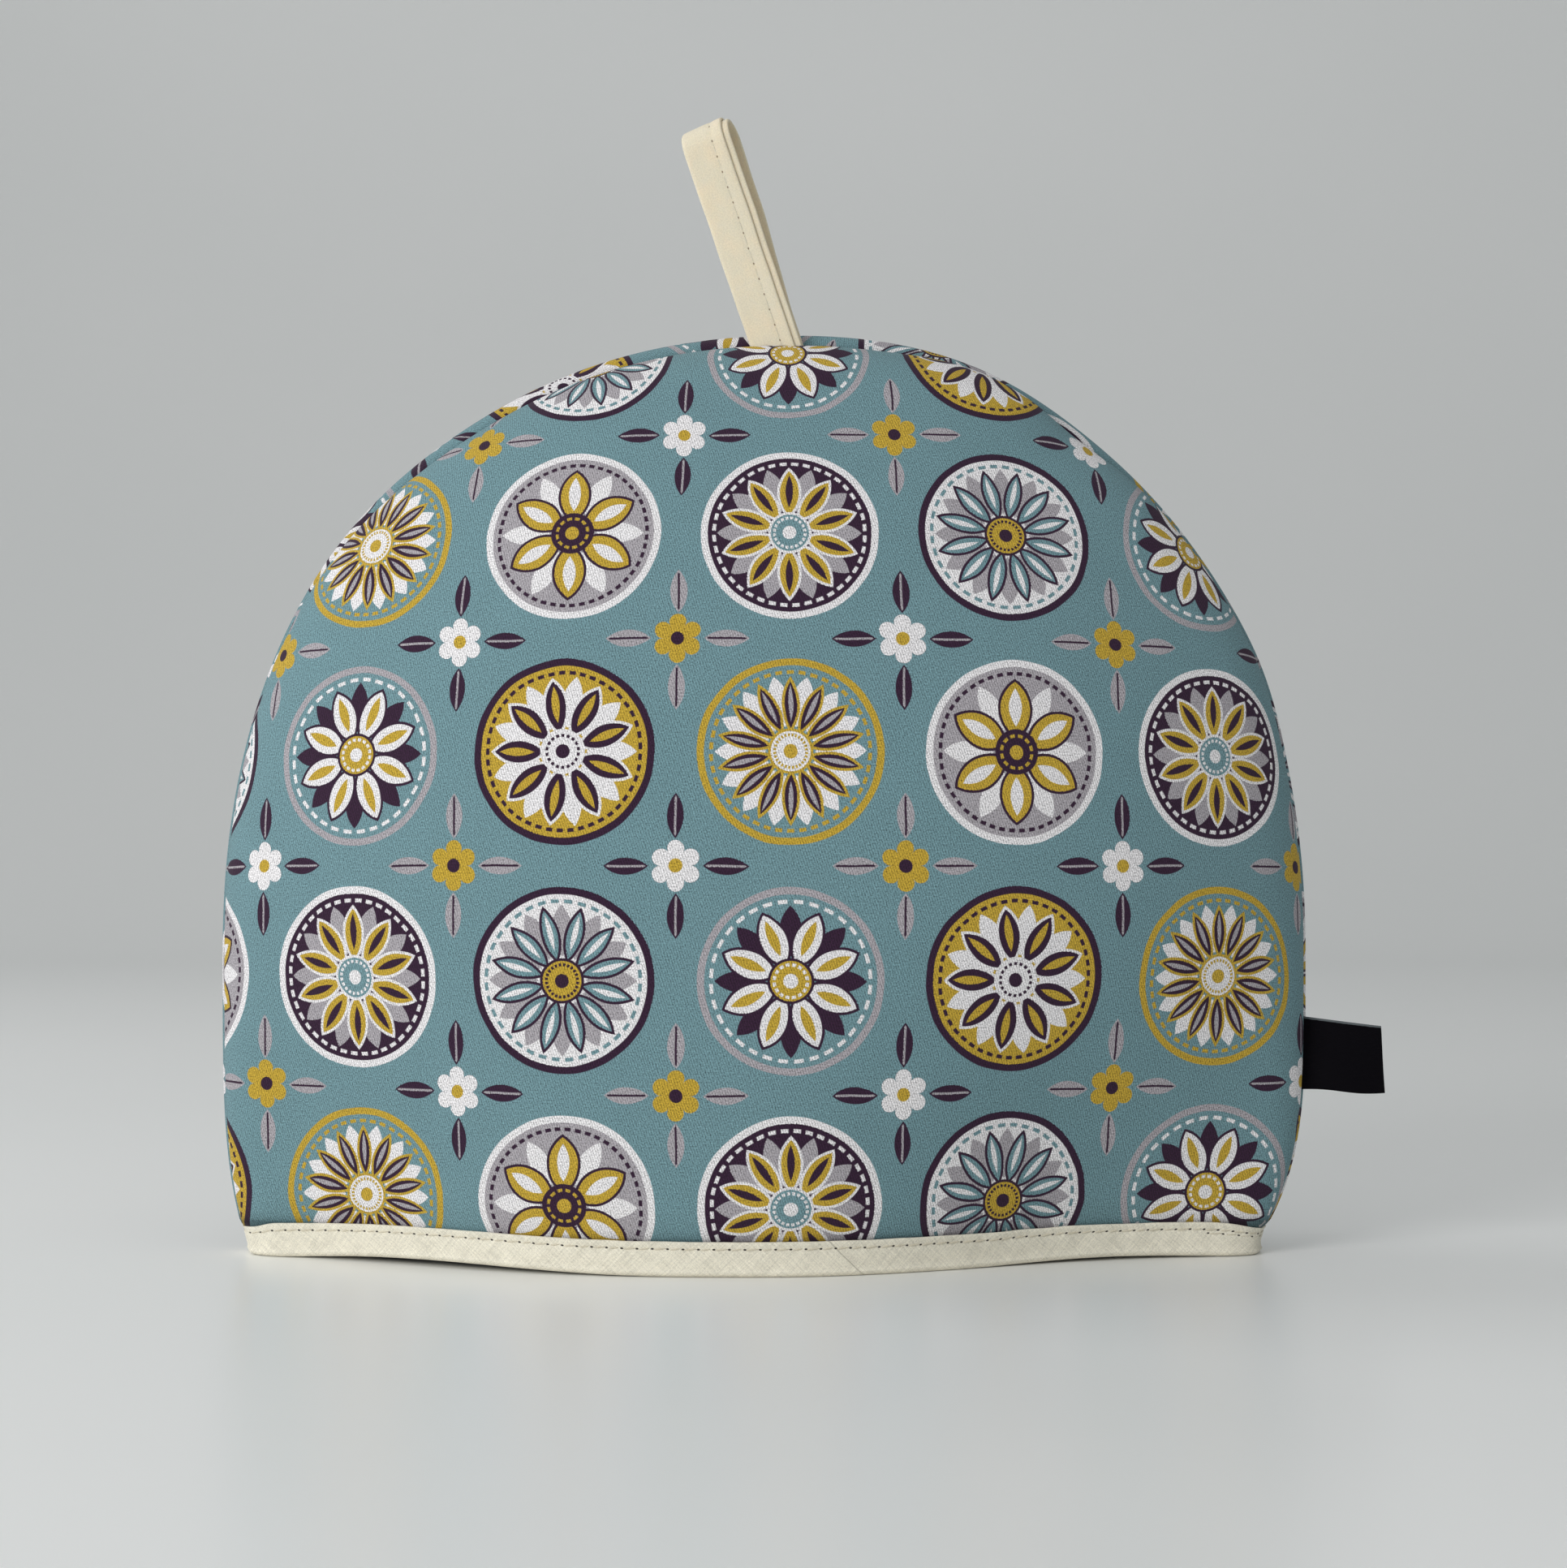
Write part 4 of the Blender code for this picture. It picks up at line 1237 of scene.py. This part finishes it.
def loop_path():
    """The middle of the tape as (back, up) pairs: up the front limb, over the bend, down the back limb."""
    front = -LIMB_GAP_BASE / 2.0
    limb_height = LOOP_HEIGHT - LOOP_TAPE / 2.0 - LOOP_BEND_RADIUS
    heights = [-LOOP_SUNK + (limb_height + LOOP_SUNK) * i / LIMB_STEPS for i in range(LIMB_STEPS)]
    path = [(front, up) for up in heights]
    for i in range(BEND_STEPS + 1):
        angle = math.pi - i * math.pi / BEND_STEPS
        back = front + LOOP_BEND_RADIUS * (1.0 + math.cos(angle))
        path.append((back, limb_height + LOOP_BEND_RADIUS * math.sin(angle)))
    return path + [(front + limb_gap(up, limb_height), up) for up in heights[::-1]]


def loop_axes(up):
    """The tape's width, rise and back directions at a height: it turns more of its edge to the right."""
    share = min(1.0, max(0.0, up) / LOOP_HEIGHT)
    tilt = LOOP_TILT_BASE + (LOOP_TILT_TOP - LOOP_TILT_BASE) * share
    width = Vector((math.cos(tilt) * math.cos(LOOP_TURN), -math.sin(LOOP_TURN), math.sin(tilt))).normalized()
    rise = Vector((-math.sin(LOOP_LEAN), 0.0, math.cos(LOOP_LEAN)))
    return width, rise, rise.cross(width).normalized()


def tape_section():
    """Points round the folded tape as (across, outwards): under it, round the fold, over the upper ply to
    its edge, into the slit between the plies and out again over the lower ply's edge."""
    half = LOOP_WIDTH / 2.0
    thick = LOOP_TAPE / 2.0
    gap = PLY_GAP / 2.0
    edge = UPPER_PLY - half
    fold = -half + thick
    under = LOOP_WIDTH - thick - EDGE_EASE
    points = [(half - EDGE_EASE - under * i / UNDER_STEPS, -thick) for i in range(UNDER_STEPS)]
    points += [(fold - thick * math.sin(math.radians(a)), -thick * math.cos(math.radians(a)))
               for a in range(0, 181, 30)]
    for i in range(1, OVER_STEPS + 1):
        across = fold + (edge - EDGE_EASE - fold) * i / OVER_STEPS
        groove = LOOP_GROOVE * math.exp(-(((across - LOOP_ROW) / GROOVE_WIDTH) ** 2))
        points.append((across, thick - groove))
    points += [(edge - back, thick * share) for back, share in UPPER_EDGE]
    points += [(edge - SLIT_IN, gap), (fold + EDGE_EASE, gap), (fold, 0.0), (fold + EDGE_EASE, -gap)]
    points += [(edge, -gap), (half - LOWER_LIP[0], -gap - LOWER_LIP[1])]
    return points + [(half - back, thick * share) for back, share in LOWER_EDGE]


LOOP_CREAM = (0.770, 0.690, 0.530)
LOOP_WARM = (0.820, 0.700, 0.520)
# Painted shade inside the tape's needle holes
LOOP_HOLE_SHADE = (0.260, 0.185, 0.120)
LOOP_HOLE_SIZE = 0.00021
TAPE_THREADS = 2800.0
TAPE_PATCHES = (130.0, 0.42, 3.0)
LIGHT_THROUGH_TAPE = (0.35, (0.0022, 0.0018, 0.0012))
TAPE_FINISH = Finish(base=0.92, tone={"Height": 0.10, "Grain": 0.30, "Slub": 0.04}, roughness=0.84,
                     grain=0.10, sheen=0.08, gloss=0.2,
                     relief={"Height": 0.6, "Slub": 0.4, "Holes": -2.0}, depth=0.00004)


def make_tape_cotton(pitch, rows_up):
    """Close plain cotton tape, a little warmer in patches, with fine needle holes along its two rows, painted
    dark as the shade in them. Some light passes through it."""
    material, tree, shader = new_material("loop_tape_cotton")
    place, across, up = cloth_uv(tree)
    effects = use_group(tree, PLAIN_WEAVE, Place=place, Threads=TAPE_THREADS, Turn=0.0)
    effects.update(use_group(tree, FLECKS, Place=place))
    per_metre, start, steepness = TAPE_PATCHES
    patches = (noise_of(tree, place, per_metre, 2.0) - start).math("MULTIPLY", steepness, clamp=True)
    colour = shade(tree, blend_colours(tree, patches, LOOP_CREAM, LOOP_WARM),
                   add_up(TAPE_FINISH.base, effects, TAPE_FINISH.tone))
    holes = [use_group(tree, NEEDLE_HOLES, Along=across, Aside=up - row_up, Pitch=pitch, Reach=LOOP_HOLE_SIZE)
             for row_up in rows_up]
    effects["Holes"] = holes[0]["Mask"].math("MAXIMUM", holes[1]["Mask"])
    # Painted shade: the needle holes are darkened to the shade inside them.
    plug(blend_colours(tree, effects["Holes"], colour, LOOP_HOLE_SHADE), shader.inputs["Base Color"])
    finish_cloth(tree, shader, TAPE_FINISH, effects)
    share, reach_by_colour = LIGHT_THROUGH_TAPE
    shader.inputs["Subsurface Weight"].default_value = share
    shader.inputs["Subsurface Radius"].default_value = reach_by_colour
    shader.inputs["Subsurface Scale"].default_value = 1.0
    return material


def make_loop():
    """The folded tape along its path, and its two rows of threads."""
    path = loop_path()
    section = tape_section()
    middles = []
    for back, up in path:
        width, rise, behind = loop_axes(up)
        middles.append(LOOP_BASE + rise * up + behind * back)
    lines = []
    places = []
    run = 0.0
    frames = []
    for i, (back, up) in enumerate(path):
        ahead = middles[min(i + 1, len(path) - 1)] - middles[max(i - 1, 0)]
        width = loop_axes(up)[0]
        out = width.cross(ahead).normalized()
        run += 0.0 if i == 0 else (middles[i] - middles[i - 1]).length
        sway = TAPE_SWAY[1] * noise.noise(Vector((run / TAPE_SWAY[0], 0.0, 2.0)))
        line = []
        for across, over in section:
            spot = Vector((run / TAPE_WAVE[0], across / TAPE_WAVE[1], 8.0))
            wave = TAPE_WAVE[2] * noise.noise(spot)
            line.append(middles[i] + width * (across + sway) + out * (over + wave))
        lines.append(line + line[:1])
        frames.append((run, middles[i], width, out))
        around = [0.0]
        for j in range(len(section)):
            around.append(around[-1] + (Vector(section[(j + 1) % len(section)]) - Vector(section[j])).length)
        places.append([(run, step, 0.0) for step in around])
    bm = lay_sheet(lines, places)
    bmesh.ops.holes_fill(bm, edges=[edge for edge in bm.edges if edge.is_boundary])
    count = round(run / LOOP_STITCH)
    rows_up = []
    for side in (1.0, -1.0):
        row = Vector((LOOP_ROW, side * LOOP_TAPE / 2.0))
        near = min(range(len(section)), key=lambda j: (Vector(section[j]) - row).length)
        rows_up.append(around[near] + side * (LOOP_ROW - section[near][0]))
    loop = finish_piece("tape_loop", bm, make_tape_cotton(run / count, rows_up))

    stitches = []
    for side in (1.0, -1.0):
        for k in range(count):
            ends = []
            for share in ((1.0 - THREAD_SHARE) / 2.0, (1.0 + THREAD_SHARE) / 2.0):
                want = (k + share) * run / count
                near = min(frames, key=lambda spot: abs(spot[0] - want))
                rise = LOOP_TAPE / 2.0 - (LOOP_GROOVE if side > 0.0 else 0.0)
                ends.append(near[1] + near[2] * LOOP_ROW + near[3] * side * rise)
            stitches.append((ends[0], ends[1], near[3] * side))
    threads = lay_threads("loop_stitches", stitches, LOOP_THREAD_RADIUS, SEWING_THREAD)
    return loop, threads, run


loop, loop_threads, tape_length = make_loop()
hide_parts("hanging_loop")


# Side label
# A small black ribbon folded in half and caught by both ends in the right side seam. It is left plain.
LABEL_TOP_LEFT = Vector((0.1629, 0.0718))
LABEL_TOP_RIGHT = Vector((0.1868, 0.0688))
LABEL_LOW_LEFT = Vector((0.1624, 0.0496))
LABEL_LOW_RIGHT = Vector((0.1880, 0.0484))
LABEL_BOW = 0.0012
LABEL_WAVE = 0.00035
LABEL_PLY = 0.00038
LABEL_APART = 0.00026
LABEL_ROWS = 24
LABEL_COLUMNS = 24
LABEL_TWIST = (0.0003, 5.0, 3.0)
LABEL_PRESSED = 0.4

RIBS_PER_METRE = 2600.0
THREADS_TO_RIBS = 1.4
RIBBON_GRAIN = (1900.0, 0.3)
LABEL_TOP_BAND = 0.00060
TOP_BAND_SHOWS = 0.8
LABEL_BLACKS = ((0.0012, 0.0009, 0.0018), (0.0050, 0.0040, 0.0065))
TOP_BAND_GREY = (0.16, 0.18, 0.19)
FRAY = (700.0, 0.0002)
LABEL_FINISH = Finish(base=1.0, tone={}, roughness=0.62, grain=0.12, sheen=0.0, gloss=0.06,
                      relief={"Ribs": 0.7, "Threads": 0.3}, depth=0.00005)


def make_black_ribbon(height):
    """Black ribbon in fine crosswise ribs, with a thin paler grey band along its top."""
    material, tree, shader = new_material("black_ribbon")
    place, across, up = cloth_uv(tree)
    ribs = abs((up * RIBS_PER_METRE * math.pi).math("SINE"))
    threads = abs((across * RIBS_PER_METRE * math.pi * THREADS_TO_RIBS).math("SINE"))
    grain = noise_of(tree, place, RIBBON_GRAIN[0], 1.0)
    fray = (noise_of(tree, place, FRAY[0], 0.0) - 0.5) * FRAY[1]
    # A thin paler band along the ribbon's top edge.
    top_band = (up - (height - LABEL_TOP_BAND) + fray).within(FRAY[1])
    colour = blend_colours(tree, ribs * threads * 0.5 + grain * RIBBON_GRAIN[1], *LABEL_BLACKS)
    plug(blend_colours(tree, top_band * TOP_BAND_SHOWS, colour, TOP_BAND_GREY), shader.inputs["Base Color"])
    finish_cloth(tree, shader, LABEL_FINISH, {"Grain": grain, "Ribs": ribs, "Threads": threads})
    return material


def make_label():
    """The ribbon as one sheet, out along its front ply, round the fold and back."""
    length = (LABEL_LOW_RIGHT - LABEL_LOW_LEFT).length
    height = (LABEL_TOP_LEFT - LABEL_LOW_LEFT).length
    course = [(i / LABEL_COLUMNS, -LABEL_APART) for i in range(LABEL_COLUMNS)]
    for degrees in range(0, 181, 36):
        turn = math.radians(degrees)
        course.append((1.0 + LABEL_APART / length * math.sin(turn), -LABEL_APART * math.cos(turn)))
    course += [(1.0 - i / LABEL_COLUMNS, LABEL_APART) for i in range(1, LABEL_COLUMNS + 1)]
    lines = []
    places = []
    for out, apart in course:
        low = LABEL_LOW_LEFT.lerp(LABEL_LOW_RIGHT, out)
        high = LABEL_TOP_LEFT.lerp(LABEL_TOP_RIGHT, out)
        apart_here = apart * (LABEL_PRESSED + (1.0 - LABEL_PRESSED) * min(1.0, out))
        line = []
        for row in range(LABEL_ROWS + 1):
            up = row / LABEL_ROWS
            spot = low.lerp(high, up)
            depth, per_height, per_length = LABEL_TWIST
            bow = depth * math.sin(per_height * up + per_length * out)
            bow += LABEL_BOW * math.sin(math.pi * min(1.0, out))
            wave = LABEL_WAVE * math.sin(2.0 * math.pi * out) * (1.0 - up)
            line.append(Vector((spot.x, apart_here - bow, spot.y + wave)))
        lines.append(line)
        along = length * (out if apart < 0.0 else 2.0 - out)
        places.append([(along, height * row / LABEL_ROWS, 0.0) for row in range(LABEL_ROWS + 1)])
    label = finish_piece("folded_label", lay_sheet(lines, places), make_black_ribbon(height))
    ply = label.modifiers.new("ply", "SOLIDIFY")
    ply.thickness = LABEL_PLY
    ply.offset = 0.0
    return label, 2.0 * length, height


label, label_length, label_height = make_label()
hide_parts("side_label")


# Table and light
# A plain pale table top that sweeps up behind, as in a studio. A broad window-like light stands low at the
# left in front, with a weak one high at the left behind for the rim and a large dim one overhead.
TABLE_REACH = 4.0
SWEEP_START = 1.7
SWEEP_RADIUS = 1.0
SWEEP_STEPS = 24
SWEEP_HEIGHT = 4.0
TABLE_MIDDLE = 0.6
TABLE_WHITES = ((0.91, 0.92, 0.91), (0.94, 0.94, 0.93))
TABLE_CLOUDS = 3.0
TABLE_ROUGHNESS = (0.26, 0.10)
ROOM_LIGHT = ((0.80, 0.83, 0.84, 1.0), 0.40)


def make_table_top():
    rows = [(-TABLE_REACH, 0.0), (-TABLE_MIDDLE, 0.0), (TABLE_MIDDLE, 0.0)]
    for i in range(SWEEP_STEPS + 1):
        angle = i * math.pi / 2.0 / SWEEP_STEPS
        rows.append((SWEEP_START + SWEEP_RADIUS * math.sin(angle), SWEEP_RADIUS * (1.0 - math.cos(angle))))
    rows.append((SWEEP_START + SWEEP_RADIUS, SWEEP_HEIGHT))
    bm = new_cloth()
    lines = [[Vector((x, y, z)) for y, z in rows] for x in (-TABLE_REACH, 0.0, TABLE_REACH)]
    lay_grid(bm, lines, [[(0.0, 0.0, 0.0)] * len(rows)] * len(lines))
    bmesh.ops.recalc_face_normals(bm, faces=bm.faces)
    if sum(face.normal.z * face.calc_area() for face in bm.faces) < 0.0:
        bmesh.ops.reverse_faces(bm, faces=bm.faces)
    material, tree, shader = new_material("table_white")
    cloud = noise_of(tree, flow_from(tree, "TexCoord", "Object"), TABLE_CLOUDS, 2.0)
    plug(blend_colours(tree, cloud, *TABLE_WHITES), shader.inputs["Base Color"])
    plug(TABLE_ROUGHNESS[0] + cloud * TABLE_ROUGHNESS[1], shader.inputs["Roughness"])
    place_object("table_top", bm, material)


make_table_top()

Softbox = namedtuple("Softbox", "name place aim size watts")
SOFTBOXES = (
    Softbox("window_light", (-1.40, -1.75, 0.80), (0.0, 0.0, 0.13), 1.1, 27.5),
    Softbox("rim_light", (-1.5, 0.5, 1.1), (0.0, 0.0, 0.15), 0.8, 7.0),
    Softbox("top_light", (0.0, -0.9, 2.3), (0.0, -0.6, 0.0), 2.0, 8.0),
)
for box in SOFTBOXES:
    data = bpy.data.lights.new(box.name, "AREA")
    data.size = box.size
    data.energy = box.watts
    lamp = bpy.data.objects.new(box.name, data)
    lamp.location = box.place
    aim = Vector(box.aim) - Vector(box.place)
    lamp.rotation_euler = aim.to_track_quat("-Z", "Y").to_euler()
    bpy.context.scene.collection.objects.link(lamp)

world = bpy.data.worlds.new("room")
world.use_nodes = True
background = world.node_tree.nodes["Background"]
background.inputs["Color"].default_value, background.inputs["Strength"].default_value = ROOM_LIGHT
bpy.context.scene.world = world
bpy.context.scene.view_settings.view_transform = "Standard"
